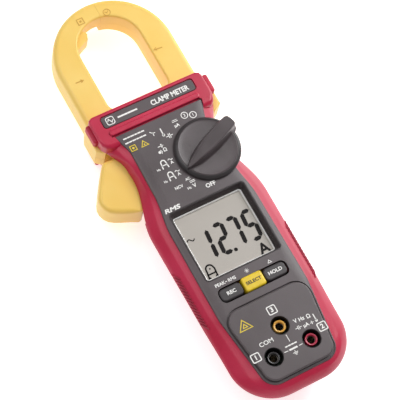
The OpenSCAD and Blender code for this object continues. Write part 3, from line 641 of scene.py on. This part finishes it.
rearLook = {
    "wall": [(13.2, 0.0), (11.6, 0.25), (10.6, 0.9), (9.9, 2.0), (8.6, 4.4), (7.3, 7.2), (6.1, 9.8),
             (4.8, 12.8), (3.5, 15.7), (3.7, 15.95)],
    "collar": [(6.2, 0.0), (4.6, 0.4), (3.3, 1.4), (2.0, 3.2), (1.0, 5.4), (0.6, 7.6), (0.6, 15.95)],
}
rearShell = toObject(loft(bmesh.new(), [at(insetLoop(outside, i), z) for i, z in rearLook["wall"]]),
    "rear_shell")
headLoop = [p for p in outside if p[1] > 31.5]
headBlock = toObject(loft(bmesh.new(), [at(insetLoop(headLoop, i), z) for i, z in rearLook["collar"]]))
combine(rearShell, [headBlock], "UNION")
cavity = toObject(loft(bmesh.new(), [at(insetLoop(innerLoop, i), z) for i, z in
                                     ((10.4, 2.2), (8.6, 4.4), (7.3, 7.2), (4.8, 12.8), (3.5, 16.5))]))
headCavity = toObject(loft(bmesh.new(), [at(insetLoop([p for p in innerLoop if p[1] > 33.7], i), z) for i,
                                         z in ((4.6, 2.4), (2.0, 4.6), (0.5, 8.0), (0.5, 17.0))]))
combine(rearShell, [cavity, headCavity])
bay = slab(roundedBox((0, -37), (27.0, 52.2), 1.0), 0.6, 14.5)
pillars = [rod(p, 4.1, 1.5, 15.9) for p in caseScrews[:4]] + [rod(pivot, 4, 1, 7.5),
    rod(caseScrews[4], 3.1, 1, 7.5)]
pillarBody = pillars[0]
combine(pillarBody, pillars[1:], "UNION")
trim = toObject(loft(bmesh.new(), [at(insetLoop(outside, i + 0.05), z) for i, z in rearLook["wall"]]))
collarTrim = toObject(loft(bmesh.new(), [at(insetLoop(headLoop, i + 0.05), z) for i,
    z in rearLook["collar"]]))
combine(trim, [collarTrim], "UNION")
combine(pillarBody, [trim], "INTERSECT")
combine(rearShell, [bay, pillarBody], "UNION")
cuts = [block(-12, 12, -61.6, -12.4, -1, 13.4),
        slab(roundedBox((0, -39), (31.9, 61.1), 3.1), -1, 1.6),
        *jawRoom(), rod((0, -65.4), 1.3, 0, 9), rod(pivot, 2.02, 2.4, 8.6)]
for i, p in enumerate(caseScrews):
    cuts += [rod(p, 2.9, -1, 9.4 if i < 4 else 3.2), rod(p, 1.4, -1, 17)]
combine(rearShell, cuts)
finishPiece(rearShell, "case", redAbs, ["rear_case"], sharp=32)
print("rear shell made")

panelLook = {"profile": [(0, 29.5), (0, 31.0), (0.15, 31.3), (0.5, 31.5), (1.4, 31.7), (3.0, 31.88),
    (5.0, 32.0)], "plateauTop": 33.1, "plateauEdge": -68.5, "plateauCorner": 7.5}


def panelInset(inset):
    # the slope fades out along the straight top edge, which keeps its square corners
    top = caseShape["panelTop"]
    limit = top - min(inset, 0.4)
    return [(p[0], limit if q[1] > top - 0.1 else min(p[1], limit)) for p,
        q in zip(insetLoop(panelEdge, inset), panelEdge)]


panelRings = [at(panelInset(inset), z) for inset, z in panelLook["profile"]]
panel = toObject(loft(bmesh.new(), panelRings))
inner = insetLoop(panelEdge, 1.5)
corner = panelLook["plateauCorner"]
rightSide = [p for p in inner if p[0] >= 0 and p[1] < panelLook["plateauEdge"] - corner]
rightSide = sorted(set(rightSide), key=lambda p: (p[1], p[0]))
edgeX = rightSide[-1][0]
rightSide += [(edgeX - corner + corner * math.cos(math.radians(a)),
               panelLook["plateauEdge"] - corner + corner * math.sin(math.radians(a))) for a in range(10,
               91, 10)]
rightSide += [(0.0, panelLook["plateauEdge"])]
plateau = slab(mirrored(rightSide), 31.0, panelLook["plateauTop"], 0.8)
combine(panel, [plateau], "UNION")
groove = slab(insetLoop(mirrored(rightSide), -0.8), 31.0, 36)
grooveCore = slab(insetLoop(mirrored(rightSide), -0.02), 30.5, 37)
combine(groove, [grooveCore])
cuts = [groove, rod(knobAt, 6.5, 20, 40), slab(roundedBox(displayHoleAt, displaySize, 2.2), 20, 40),
        slab(roundedBox((0, keyRow), (39.2, 8.3), 3.2), 20, 40)]
cuts += [rod(place, 4.95, 20, 40) for place in sockets.values()]
combine(panel, cuts)
panel.name = "front_panel_plate"
finishPiece(panel, "case", greyAbs, ["front_panel"], sharp=32)
print("front panel made")

plateFace = pillow(bmesh.new(), roundedBox((-0.9, 49.5), (53.4, 6.4), 1.6), 30.95, 31.75, 0.25)
addPiece("nameplate_face", plateFace, "case", greyAbs, ["nameplate"])

# the display frame's brown-black is partly painted shade of the recess walls
outerFrame = roundedBox(displayHoleAt, (displaySize[0] - 0.1, displaySize[1] - 0.1), 2.1)
glassEdge = roundedBox(displayAt, (39.6, 37.2), 1.3)
frameRings = [at(outerFrame, 27.45), at(outerFrame, 31.6),
              at(insetLoop(outerFrame, 0.15), 31.8), at(insetLoop(outerFrame, 0.5), 31.8),
              at(insetLoop(outerFrame, 0.8), 31.55), at(insetLoop(glassEdge, -0.3), 29.8),
              at(insetLoop(glassEdge, 0.1), 28.2), at(insetLoop(glassEdge, 0.2), 27.45)]
frameRings.append(frameRings[0])
addPiece("display_frame", loft(bmesh.new(), frameRings, False, False), "case", frameAbsAndShade, ["display_bezel"])
# a thin white ring round the glass: painted highlight of the light caught on the frame's lip
highlightLipOuter = glassEdge
highlightLipRings = [at(highlightLipOuter, 27.24), at(highlightLipOuter, 28.3), at(insetLoop(highlightLipOuter, 0.15), 28.5),
            at(insetLoop(highlightLipOuter, 0.5), 28.4), at(insetLoop(highlightLipOuter, 0.7), 28.0),
            at(insetLoop(highlightLipOuter, 0.75), 27.24)]
highlightLipRings.append(highlightLipRings[0])
addPiece("display_edge_highlight", loft(bmesh.new(), highlightLipRings, False, False), "case", paleAcrylicAndHighlight)
addPiece("window_pane", pillow(bmesh.new(), insetLoop(glassEdge, -0.45), 30.4, 31.2, 0.2, 0.2), "case",
         windowClear, ["display_window"])

digitLook = {"wide": 6.9, "tall": 17.8, "bar": 2.2, "slant": 0.085, "gap": 0.1}
segments = {"a": ((0, 1), (1, 1)), "b": ((1, 1), (1, 0.5)), "c": ((1, 0.5), (1, 0)), "d": ((0, 0), (1, 0)),
            "e": ((0, 0), (0, 0.5)), "f": ((0, 1), (0, 0.5)), "g": ((0, 0.5), (1, 0.5))}
shown = [("bc", -14.2, -40.0), ("abged", -5.4, -40.0), ("abc", 2.4, -40.0), ("afgcd", 11.3, -40.0)]


def digitBars(bm, names, x0, y0):
    d = digitLook
    w, h = d["wide"] - d["bar"], d["tall"] - d["bar"]
    for name in names:
        (ax, ay), (bx, by) = segments[name]
        a = Vector((x0 + d["bar"] / 2 + ax * w, y0 + d["bar"] / 2 + ay * h))
        b = Vector((x0 + d["bar"] / 2 + bx * w, y0 + d["bar"] / 2 + by * h))
        along = (b - a).normalized()
        side = Vector((-along[1], along[0]))
        half = d["bar"] / 2
        a2, b2 = a + along * d["gap"], b - along * d["gap"]
        points = [a2, a2 + along * half - side * half, b2 - along * half - side * half, b2,
                  b2 - along * half + side * half, a2 + along * half + side * half]
        slanted = [(p[0] + (p[1] - y0) * d["slant"], p[1]) for p in points]
        pillow(bm, slanted, 27.18, 27.28)


bm = bmesh.new()
for names, x0, y0 in shown:
    digitBars(bm, names, x0, y0)
disc(bm, (1.9, -39.3), 1.0, 27.22, 0.06)
waves = [(-18.3 + 0.5 * k, -25.0 + 0.75 * math.sin(2 * math.pi * k / 8)) for k in range(9)]
stroke(bm, waves, 0.55, 27.22, 0.06)
letters(bm, "A", (15.1, -45.3), 6.2, 27.23, bold=0.16, thick=0.06)
arch = [(-17.9, -48.0), (-17.2, -43.2)] + ringPoints((-15.1, -42.6), 2.1, 10, 180, 0) + [(-12.8, -43.2),
    (-13.2, -48.0)]
stroke(bm, arch, 0.85, 27.22, 0.06)
stroke(bm, [(-17.5, -45.3), (-13.0, -45.3)], 0.8, 27.22, 0.06)
disc(bm, (-15.1, -42.6), 0.45, 27.22, 0.06)
for x in (-17.4, -13.4):
    disc(bm, (x, -47.4), 0.75, 27.22, 0.06)
addPiece("display_segments", bm, "case", lcdInk, weighted=False)
print("display made")

knobLook = {"gripTop": 41.0, "tipTop": 35.6}
# the dark ring round the knob is partly painted shade of the skirt's side wall
ringProfile = [(15.5, 32.4), (17.0, 32.4), (17.3, 32.5), (17.4, 32.75), (17.4, 33.1), (17.2, 33.45),
               (16.7, 33.85), (16.1, 34.25), (15.8, 34.3), (15.5, 34.1), (15.5, 32.4)]
addPiece("range_knob_ring", lathe(bmesh.new(), knobAt, ringProfile, 96), "knob", ringAbsAndShade)
profile = [(0, 26.4), (5.98, 26.4), (5.98, 32.2), (6.2, 32.35), (15.6, 32.5), (15.6, 34.2), (15.2, 34.4),
           (14.8, 34.25), (12, 34.08), (6, 34.02), (0, 34.0)]
knob = toObject(lathe(bmesh.new(), (0, 0), profile, 96), "range_knob")


def gripLoop(grow):
    half = [(-16.3, 0.2), (-14.8, 0.95), (-12.2, 1.85), (-9, 2.65), (-5, 3.35), (-1, 3.8), (4, 4.05),
            (9, 4.05), (13.5, 3.85), (16.4, 3.6), (17.5, 3.1), (18.0, 2.3), (18.15, 1.2)]
    low = [(x, -y) for x, y in half]
    loop = low + [(x, y) for x, y in reversed(half)]
    return insetLoop(loop, -grow, [0.15 if p[0] < -14 else 0.5 if p[0] < -11 else 1 for p in loop])


def gripTop(x):
    t = max(0.0, min(1.0, (x + 17.4) / 17.0))
    return knobLook["tipTop"] + (knobLook["gripTop"] - knobLook["tipTop"]) * math.sin(t * math.pi / 2) ** 0.9


gripRings = []
for share, grow in ((0.0, 1.3), (0.06, 0.75), (0.16, 0.35), (0.4, 0.1), (0.7, 0.0), (0.88, -0.15),
        (0.96, -0.4), (1.0, -0.85)):
    loop = gripLoop(grow)
    gripRings.append([(x, y, 33.9 + (gripTop(x) - 33.9) * share) for x, y in loop])
grip = toObject(loft(bmesh.new(), gripRings))
combine(knob, [grip], "UNION")
knob.data.transform(Matrix.Translation((knobAt[0] * mm, knobAt[1] * mm,
    0)) @ Matrix.Rotation(math.radians(knobTurn), 4, "Z"))
finishPiece(knob, "knob", knobAbs, ["knob"], sharp=28)
print("knob made")

keyLook = {
    "select_key": {"x": -0.3, "size": (11.6, 7.8), "r": 1.2, "top": 33.6, "round": 0.9,
                   "finish": yellowKeyAbs,
                   "body": "select_button", "word": "SELECT", "ink": blackInk, "letter": 1.75},
    "record_key": {"x": -12.9, "size": (12.6, 7.0), "r": 2.4, "top": 32.6, "round": 0.9, "finish": keyAbs,
                   "body": "record_button", "word": "REC", "ink": whiteInk, "letter": 1.9},
    "hold_key": {"x": 12.3, "size": (12.4, 7.0), "r": 2.4, "top": 32.6, "round": 0.9, "finish": keyAbs,
                 "body": "hold_button", "word": "HOLD", "ink": whiteInk, "letter": 1.9},
}
for name, key in keyLook.items():
    bm = bmesh.new()
    pillow(bm, roundedBox((key["x"], keyRow), key["size"], key["r"]), 26.0, key["top"], key["round"], 0.2)
    addPiece(name, bm, key["body"], key["finish"], [key["body"]])
    bm = bmesh.new()
    letters(bm, key["word"], (key["x"], keyRow), key["letter"], key["top"] + 0.02, stretch=1.1, bold=0.05)
    addPiece(name + "_print", bm, key["body"], key["ink"], weighted=False)
print("keys made")

sleeveLook = {"black": sleeveBlack, "red": sleeveRed, "yellow": sleeveYellow}
for colour, place in sockets.items():
    profile = [(2.82, 22.35), (3.28, 22.35), (3.28, 31.3), (3.2, 31.6), (3.0, 31.78), (2.7, 31.8),
               (2.45, 31.65), (2.2, 31.4), (2.1, 31.1), (2.1, 30.55), (2.82, 30.5), (2.82, 22.35)]
    addPiece("socket_sleeve_" + colour, lathe(bmesh.new(), place, profile, 48), "case", sleeveLook[colour],
             ["sleeve_" + colour])
    liner = [(4.55, 22.7), (4.84, 22.7), (4.84, 32.9), (4.75, 33.05), (4.62, 33.0), (4.55, 32.8),
        (4.55, 22.7)]
    addPiece("socket_well_" + colour, lathe(bmesh.new(), place, liner, 48), "case", blackAbs)
print("sockets made")

jawLook = {"outer": 33.0, "inner": 17.5, "archY": 85.1, "throatY": 90.5, "floor": 56.5, "base": 34.0,
           "outerRound": 3.0}


def jawOutline(side, hollow=0.0):
    # one arm seen from the front; side is 1 for the fixed arm and -1 for the moving one
    j = jawLook
    r, q = j["outer"] - hollow, j["inner"] + hollow
    split = (3.2 if side > 0 else -2.9) + 2.0 if hollow else -6.0
    points = []
    if hollow:
        points += [(split if side > 0 else 1.0, j["floor"] + 3, 1), (r, j["floor"] + 3, 1)]
    else:
        edge = 1.6 if side > 0 else -0.2
        base, shoulder = (j["base"], 36.2) if side > 0 else (j["base"] + 3.2, 35.4)
        points += [(edge, base, 0.2), (10, base, 0.3), (r - 1.6, base, 0.3), (shoulder, base + 3, 0.5),
                   (shoulder, 46, 0.5), (shoulder, 51.6, 0.5), (34.4, 53.8, 0.7), (r, 56.2, 1)]
    for k in range(5):
        points.append((r, 60 + k * 5.0, 1))
    startAngle = 0
    stop = math.degrees(math.acos(max(-1, min(1, split / r))))
    for k in range(25):
        a = math.radians(startAngle + (stop - startAngle) * k / 24)
        points.append((r * math.cos(a), j["archY"] + r * math.sin(a), 1))
    stop = math.degrees(math.acos(max(-1, min(1, split / q))))
    for k in range(21):
        a = math.radians(stop * (1 - k / 20))
        points.append((q * math.cos(a), j["throatY"] + q * math.sin(a), 0.43))
    if hollow:
        points.append((q, j["floor"] + 3, 0.43))
        points = points[1:]
        return points
    points += [(q, y, 0.43) for y in (82, 74, 66, j["floor"] + 5.2)]
    for k in range(1, 8):
        a = math.radians(90 * k / 8)
        points.append((q - 5 + 5 * math.cos(a), j["floor"] + 5 - 5 * math.sin(a), 0.43))
    points += [(q - 5, j["floor"], 0.43), (6, j["floor"], 0.43), (edge, j["floor"], 0.2)]
    return points


def flipped(points, side):
    made = [(side * x, y, w) for x, y, w in points]
    return made if side > 0 else list(reversed(made))


def jawHalf(side, front):
    points = flipped(jawOutline(side), side)
    loop, weights = [(p[0], p[1]) for p in points], [p[2] for p in points]
    if front:
        shell = toObject(pillow(bmesh.new(), loop, 16.06, 24.0, jawLook["outerRound"], 0, weights, 6))
    else:
        shell = toObject(pillow(bmesh.new(), loop, 8.0, 15.94, 0, jawLook["outerRound"], weights, 6))
    hollow = [(p[0], p[1]) for p in flipped(jawOutline(side, 2.0), side)]
    inside = slab(hollow, 10.2, 21.8)
    tipEnd = 3.05 if side > 0 else 2.95
    return shell, [inside, block(-60, tipEnd, 95, 130, 0, 40) if side > 0 else block(tipEnd, 60, 95, 130, 0,
        40)]


def rounded3d(loop, z0, z1, r):
    return toObject(pillow(bmesh.new(), loop, z0, z1, r, r, None, 5))


tabLoop = [(-4.0, 30.0), (-4.0, 38.5)] + [(-12 + 8 * math.cos(math.radians(a)),
                                          38.5 + 8 * math.sin(math.radians(a)))
                                          for a in range(10, 180, 10)] + [(-20.0, 38.5), (-20.0, 30.0)]
for side, body in ((-1, "moving_jaw"), (1, "case")):
    for front in (True, False):
        shell, cuts = jawHalf(side, front)
        if side < 0:
            if front:
                hook = rounded3d([(-18.2, 97.4), (-16.9, 96.2), (-8.6, 100.2), (-7.4, 103.2), (-9.6, 106.4),
                                 (-15.0, 104.0)], 12.6, 21.6, 0.35)
                combine(shell, [hook], "UNION")
            else:
                # the inner wall is relieved behind the hook, up to the tip
                cuts.append(slab([(-16, 100), (-9, 103), (3.1, 104.5), (3.1, 110.6), (-2, 111.4),
                    (-9, 109.8)], 6, 14.2))
            cuts += [rod(pivot, 2.05, 0, 40), slab(insetLoop(tabLoop, -0.1), 11.9, 20.1)]
        else:
            cuts += [rod(caseScrews[4], 1.6, 0, 40), block(20.5, 31, 33, 39, 14, 18),
                block(26, 31, 33, 61, 14, 18)]
        combine(shell, cuts)
        label = ("moving" if side < 0 else "fixed") + "_jaw_" + ("front" if front else "rear")
        shell.name = label + "_shell"
        finishPiece(shell, body, yellowNylon, [label], sharp=30)
print("jaws made")

triggerOutline = [(-35.4, 33.5), (-37.6, 30.6), (-40, 27.2), (-43.2, 22.4), (-46.2, 17.6), (-47.1, 15.4),
                  (-47.2, 12.8),
                  (-46.3, 9.9), (-44.6, 7.6), (-42.0, 5.8), (-38.4, 4.1), (-34.2, 2.4), (-30.4, 1.1),
                  (-29.2, 1.0), (-28.2, 1.6),
                  (-27.2, 3.4), (-25.0, 8.6), (-22.6, 14), (-19.4, 18.9), (-15.6, 24), (-11, 28.9),
                  (-6, 33.5)]
soft = [0.35 if p[0] > -33 and p[1] < 16 else 1 for p in triggerOutline]
trigger = toObject(pillow(bmesh.new(), triggerOutline, 8.2, 23.8, 2.3, 2.3, soft, 5))
tab = slab(tabLoop, 12, 20)
combine(trigger, [tab], "UNION")
combine(trigger, [rod(pivot, 2.05, 0, 40)])
trigger.name = "thumb_trigger"
finishPiece(trigger, "moving_jaw", yellowNylon, ["trigger"], sharp=30)
print("trigger made")

# the raised jaw marks are in the darker yellow: painted shade of their relief
bm = bmesh.new()
stroke(bm, [(-26.9, 79.0), (-22.7, 78.8)], 0.45, 24.0, 0.22)
stroke(bm, [(-24.0, 79.6), (-22.7, 78.8), (-24.0, 78.0)], 0.35, 24.0, 0.2)
stroke(bm, [(-9.8, 108.2), (-6.4, 108.2), (-6.4, 111.6), (-9.8, 111.6)], 0.4, 24.0, 0.2, closed=True)
disc(bm, (-8.1, 109.9), 0.6, 24.0, 0.2)
addPiece("moving_jaw_marks", bm, "moving_jaw", shadeYellowNylon, weighted=False)
bm = bmesh.new()
stroke(bm, [(19.2, 78.8), (23.6, 78.3)], 0.45, 24.0, 0.22)
stroke(bm, [(20.5, 79.5), (19.2, 78.8), (20.5, 78.0)], 0.35, 24.0, 0.2)
stroke(bm, ringPoints((7.0, 109.0), 1.9, 18)[:-1], 0.35, 24.0, 0.2, closed=True)
stroke(bm, [(6.2, 109.6), (7.0, 108.6), (7.8, 109.6)], 0.3, 24.0, 0.2)
addPiece("fixed_jaw_marks", bm, "case", shadeYellowNylon, weighted=False)
print("jaw marks made")

bm = bmesh.new()
for side in (-1, 1):
    pillow(bm, roundedBox((side * 34.0 - 0.2, 47.6), (3.2, 10.6), 1.2), 24.7, 29.4, 1.0, 0.4)
    pillow(bm, roundedBox((side * 32.2, 46.6), (3.2, 12.4), 1.2), 2.8, 7.3, 0.4, 1.1)
addPiece("collar_lugs", bm, "case", redRubber)

gripLook = {"count": 16, "from": -36.0, "step": 1.95, "wide": 0.95, "proud": 0.62, "inner": 0.26,
    "sweep": 5.0}


def rimPoint(side, share, y):
    # a place on the rim, from the widest line (0) in to the panel (1)
    rim = frontLook["rim"]
    k = next(i for i in range(len(rim) - 1) if rim[i + 1][0] >= share)
    t = (share - rim[k][0]) / (rim[k + 1][0] - rim[k][0])
    edge = halfAt(caseShape["stations"], y)
    panelX = halfAt(caseShape["panelStations"], y)
    return Vector((side * (edge + (panelX - edge) * share), y, rim[k][1] + (rim[k + 1][1] - rim[k][1]) * t))


# the ribs take the darker red: painted shade between them
bm = bmesh.new()
for side in (-1, 1):
    for k in range(gripLook["count"]):
        y = gripLook["from"] - k * gripLook["step"]
        path = [rimPoint(side, 0.02 + gripLook["inner"] * j / 9,
            y - gripLook["sweep"] * j / 9) for j in range(10)]
        rings = []
        for j, p in enumerate(path):
            along = (path[min(j + 1, 9)] - path[max(j - 1, 0)]).normalized()
            out = Vector((side * 0.75, 0, 0.66))
            out = (out - along * along.dot(out)).normalized()
            across = along.cross(out)
            fade = math.sin(math.pi * (0.1 + 0.8 * j / 9)) ** 0.5
            rings.append([tuple(p + out * (math.cos(a) * gripLook["proud"] * fade)
                                + across * (math.sin(a) * gripLook["wide"] / 2 * fade))
                          for a in [2 * math.pi * i / 8 for i in range(8)]])
        loft(bm, rings)
addPiece("side_grip_ribs", bm, "case", ribShadeRubber)
print("lugs and grips made")

face = 32.0
white = bmesh.new()
letters(white, "OFF", (6.1, -4.1), 2.3, face, bold=0.06)
letters(white, "V", (-1.5, -1.0), 2.2, face, bold=0.05)
letters(white, "Hz", (-4.6, -1.2), 1.4, face, bold=0.03)
letters(white, "NCV", (-9.2, 1.5), 1.6, face, bold=0.04)
letters(white, "AC", (-3.0, 3.6), 1.4, face, bold=0.04)
for y in (1.2, 2.0):
    stroke(white, [(-2.8, y), (-0.2, y)], 0.35, face)
for place in ((-9.8, 8.6), (-10.0, 15.8)):
    stroke(white, [(place[0] - 1.6, place[1] - 2.1), (place[0] - 1.3, place[1] + 0.9)]
           + ringPoints((place[0], place[1] + 1.1), 1.3, 8, 180, 0)
           + [(place[0] + 1.3, place[1] + 0.9), (place[0] + 1.6, place[1] - 2.1)], 0.62, face)
    stroke(white, [(place[0] - 1.4, place[1] - 0.4), (place[0] + 1.4, place[1] - 0.4)], 0.55, face)
    letters(white, "A", (place[0] + 4.2, place[1] - 0.6), 1.7, face, bold=0.05)
    wave = [(place[0] + 2.9 + 0.3 * k, place[1] + 1.3 + 0.42 * math.sin(2 * math.pi * k / 8))
            for k in range(9)]
    stroke(white, wave, 0.4, face)
    letters(white, "Hz", (place[0] - 4.0, place[1] - 1.6), 1.2, face, bold=0.03)
letters(white, "Ω", (-5.6, 22.9), 2.0, face, bold=0.05)
disc(white, (-8.8, 22.6), 0.75, face)
stroke(white, [(-8.0, 23.6), (-7.4, 22.6), (-8.0, 21.6)], 0.35, face)
stroke(white, [(-8.2, 25.6), (-5.4, 25.6)], 0.4, face)
stroke(white, [(-6.3, 26.4), (-6.3, 24.9)], 0.7, face)
stroke(white, [(-8.2, 34.8), (-7.0, 33.6), (-5.8, 33.6)], 0.45, face)
stroke(white, [(-7.0, 32.2), (-7.0, 34.0)], 0.45, face)
stroke(white, [(-2.4, 30.2), (-2.4, 34.2)], 0.6, face)
disc(white, (-2.4, 30.4), 0.8, face)
stroke(white, [(-0.2, 27.6), (-0.2, 30.0)], 0.4, face)
stroke(white, [(0.6, 27.6), (0.6, 30.0)], 0.4, face)
stroke(white, [(-1.6, 28.8), (-0.3, 28.8)], 0.4, face)
stroke(white, [(0.7, 28.8), (2.0, 28.8)], 0.4, face)
letters(white, "µA", (6.3, 32.3), 1.7, face, bold=0.05)
stroke(white, [(5.0, 34.6), (8.0, 34.6)], 0.35, face)
stroke(white, [(5.2, 35.4), (7.8, 35.4)], 0.3, face)
stroke(white, ringPoints((12.6, 35.6), 1.75, 20)[:-1], 0.42, face, closed=True)
letters(white, "2", (12.6, 35.6), 1.6, face, bold=0.03)
stroke(white, ringPoints((16.8, 34.0), 1.75, 20)[:-1], 0.42, face, closed=True)
letters(white, "1", (16.8, 34.0), 1.6, face, bold=0.03)
for y, x0, x1 in ((37.0, -22.0, -11.0), (34.4, -22.2, -10.2)):
    x = x0
    for k in range(6):
        w = (1.5, 1.1, 1.6, 0.9, 1.4, 1.2)[k]
        stroke(white, [(x, y), (x + w, y)], 0.75, face)
        x += w + 0.75
letters(white, "RMS", (-18.2, -7.6), 2.3, face, slant=0.2, stretch=1.5, bold=0.08)
letters(white, "PEAK", (-16.0, -53.4), 1.75, face, stretch=1.0, bold=0.04)
letters(white, "RMS", (-9.2, -53.4), 1.75, face, bold=0.04)
stroke(white, [(-12.9, -53.4), (-12.1, -53.4)], 0.35, face)
for a in range(0, 180, 45):
    dx, dy = 1.1 * math.cos(math.radians(a)), 1.1 * math.sin(math.radians(a))
    stroke(white, [(-0.4 - dx, -52.9 - dy), (-0.4 + dx, -52.9 + dy)], 0.22, face)
stroke(white, [(11.3, -54.3), (13.3, -54.3), (12.3, -52.8)], 0.3, face, closed=True)
addPiece("dial_print", white, "case", whiteInk, weighted=False)

yellow = bmesh.new()
stroke(yellow, [(-21.3, 29.2), (-18.3, 29.2), (-18.3, 32.1), (-21.3, 32.1)], 0.42, face, closed=True)
disc(yellow, (-19.8, 30.65), 0.65, face)
stroke(yellow, [(-15.6, 29.2), (-11.7, 29.2), (-13.7, 32.2)], 0.42, face, closed=True)
disc(yellow, (-13.7, 30.1), 0.45, face)
high = 33.1
stroke(yellow, [(-19.6, -80.1), (-12.5, -80.1), (-16.0, -74.8)], 0.5, high, closed=True)
stroke(yellow, [(-17.2, -79.0), (-14.8, -79.0), (-16.0, -77.1)], 0.45, high, closed=True)
addPiece("symbol_print", yellow, "case", yellowInk, weighted=False)

low = bmesh.new()
letters(low, "COM", (-10.6, -90.4), 2.3, high, stretch=1.1, bold=0.03)
letters(low, "V", (7.9, -87.1), 2.1, high, bold=0.05)
letters(low, "Hz", (11.2, -87.4), 2.0, high, bold=0.05)
letters(low, "Ω", (15.0, -87.8), 2.1, high, bold=0.05)
stroke(low, [(17.6, -91.2), (17.6, -87.9)], 0.55, high)
disc(low, (17.6, -91.4), 0.75, high)
stroke(low, [(6.0, -90.8), (7.2, -90.8)], 0.35, high)
stroke(low, [(7.4, -89.9), (7.4, -91.7)], 0.35, high)
stroke(low, [(8.1, -89.9), (8.1, -91.7)], 0.35, high)
stroke(low, [(8.3, -90.8), (9.3, -90.8)], 0.35, high)
letters(low, "µA", (11.7, -91.2), 1.9, high, bold=0.05)
stroke(low, [(14.2, -91.4), (15.8, -91.4)], 0.4, high)
stroke(low, [(15.0, -90.6), (15.0, -92.2)], 0.4, high)
for (x, y), figure in (((-19.1, -94.9), "1"), ((18.7, -95.4), "2"), ((0.3, -76.8), "3")):
    frameLine(low, (x, y), (5.0, 4.8), 0.9, 0.55, high)
    letters(low, figure, (x, y), 2.5, high, bold=0.08)
stroke(low, [(0.15, -91.3), (0.2, -94.9)], 0.38, high)
stroke(low, [(-5.0, -98.8), (-3.1, -98.9)], 0.38, high)
stroke(low, [(3.4, -98.9), (5.1, -98.8)], 0.38, high)
for k in range(4):
    stroke(low, [(-3.2 + 1.7 * k, -96.7), (-2.2 + 1.7 * k, -96.7)], 0.7, high)
stroke(low, [(-2.0, -98.9), (2.0, -98.9)], 0.9, high)
stroke(low, [(0, -100.2), (0, -101.1)], 0.35, high)
stroke(low, [(-1.3, -101.1), (1.3, -101.1)], 0.35, high)
stroke(low, [(-0.8, -101.7), (0.8, -101.7)], 0.35, high)
stroke(low, [(-0.3, -102.3), (0.3, -102.3)], 0.35, high)
addPiece("socket_print", low, "case", whiteInk, weighted=False)

plate = bmesh.new()
frameLine(plate, (-23.2, 49.4), (4.6, 4.6), 1.2, 0.45, 31.78)
stroke(plate, [(-24.5, 49.4), (-23.8, 50.5), (-23.2, 49.4), (-22.6, 48.3), (-21.9, 49.4)], 0.45, 31.78)
for k in range(6):
    stroke(plate, [(-18.6 + 1.9 * k, 49.4), (-17.4 + 1.9 * k, 49.4)], 0.9, 31.78)
letters(plate, "CLAMP METER", (11.2, 48.9), 2.9, 31.8, stretch=0.86, bold=0.09)
addPiece("nameplate_print", plate, "case", whiteInk, weighted=False)
print("print made")

floorLook = {"size": 6.0, "height": -0.0002, "glow": 0.62, "fibres": 60.0,
             "dark": "#F4F4F3", "light": "#F8F8F7"}
worldStrength = 0.36
floorBm = bmesh.new()
bmesh.ops.create_grid(floorBm, x_segments=8, y_segments=8, size=floorLook["size"] / 2)
floorMesh = bpy.data.meshes.new("floor")
floorBm.to_mesh(floorMesh)
floorBm.free()
floor = bpy.data.objects.new("floor", floorMesh)
floor.location = (0, 0, floorLook["height"])
scene.collection.objects.link(floor)
floorPaper, floorTree, floorShader, floorPlace = startMaterial("back lit opal acrylic", {
    "Roughness": 0.9, "Specular IOR Level": 0.2, "Emission Color": toLinear("#FFFFFF"),
    "Emission Strength": floorLook["glow"]})
fibre = addNode(floorTree, "ShaderNodeTexNoise", {"Scale": floorLook["fibres"]}, {"Vector": floorPlace})
tint = addNode(floorTree, "ShaderNodeValToRGB", {}, {"Fac": fibre.outputs["Fac"]})
tint.color_ramp.elements[0].color = toLinear(floorLook["dark"])
tint.color_ramp.elements[1].color = toLinear(floorLook["light"])
floorTree.links.new(tint.outputs["Color"], floorShader.inputs["Base Color"])
floor.data.materials.append(floorPaper)

lightLook = {
    "key": {"place": (0.5, 0.12, 0.62), "size": 0.4, "power": 3.6},
    "side": {"place": (0.56, 0.17, 0.13), "size": 0.3, "power": 0.8},
    "fill": {"place": (-0.5, 0.5, 1.3), "size": 1.0, "power": 6},
}
for name, light in lightLook.items():
    lamp = bpy.data.lights.new(name, "AREA")
    lamp.shape = "SQUARE"
    lamp.size = light["size"]
    lamp.energy = light["power"]
    lampObject = bpy.data.objects.new(name, lamp)
    lampObject.location = light["place"]
    lampObject.rotation_euler = (-Vector(light["place"])).to_track_quat("-Z", "Y").to_euler()
    scene.collection.objects.link(lampObject)
world = bpy.data.worlds.new("soft studio")
scene.world = world
world.use_nodes = True
world.node_tree.nodes["Background"].inputs["Color"].default_value = (1, 1, 1, 1)
world.node_tree.nodes["Background"].inputs["Strength"].default_value = worldStrength
print("floor and light made")
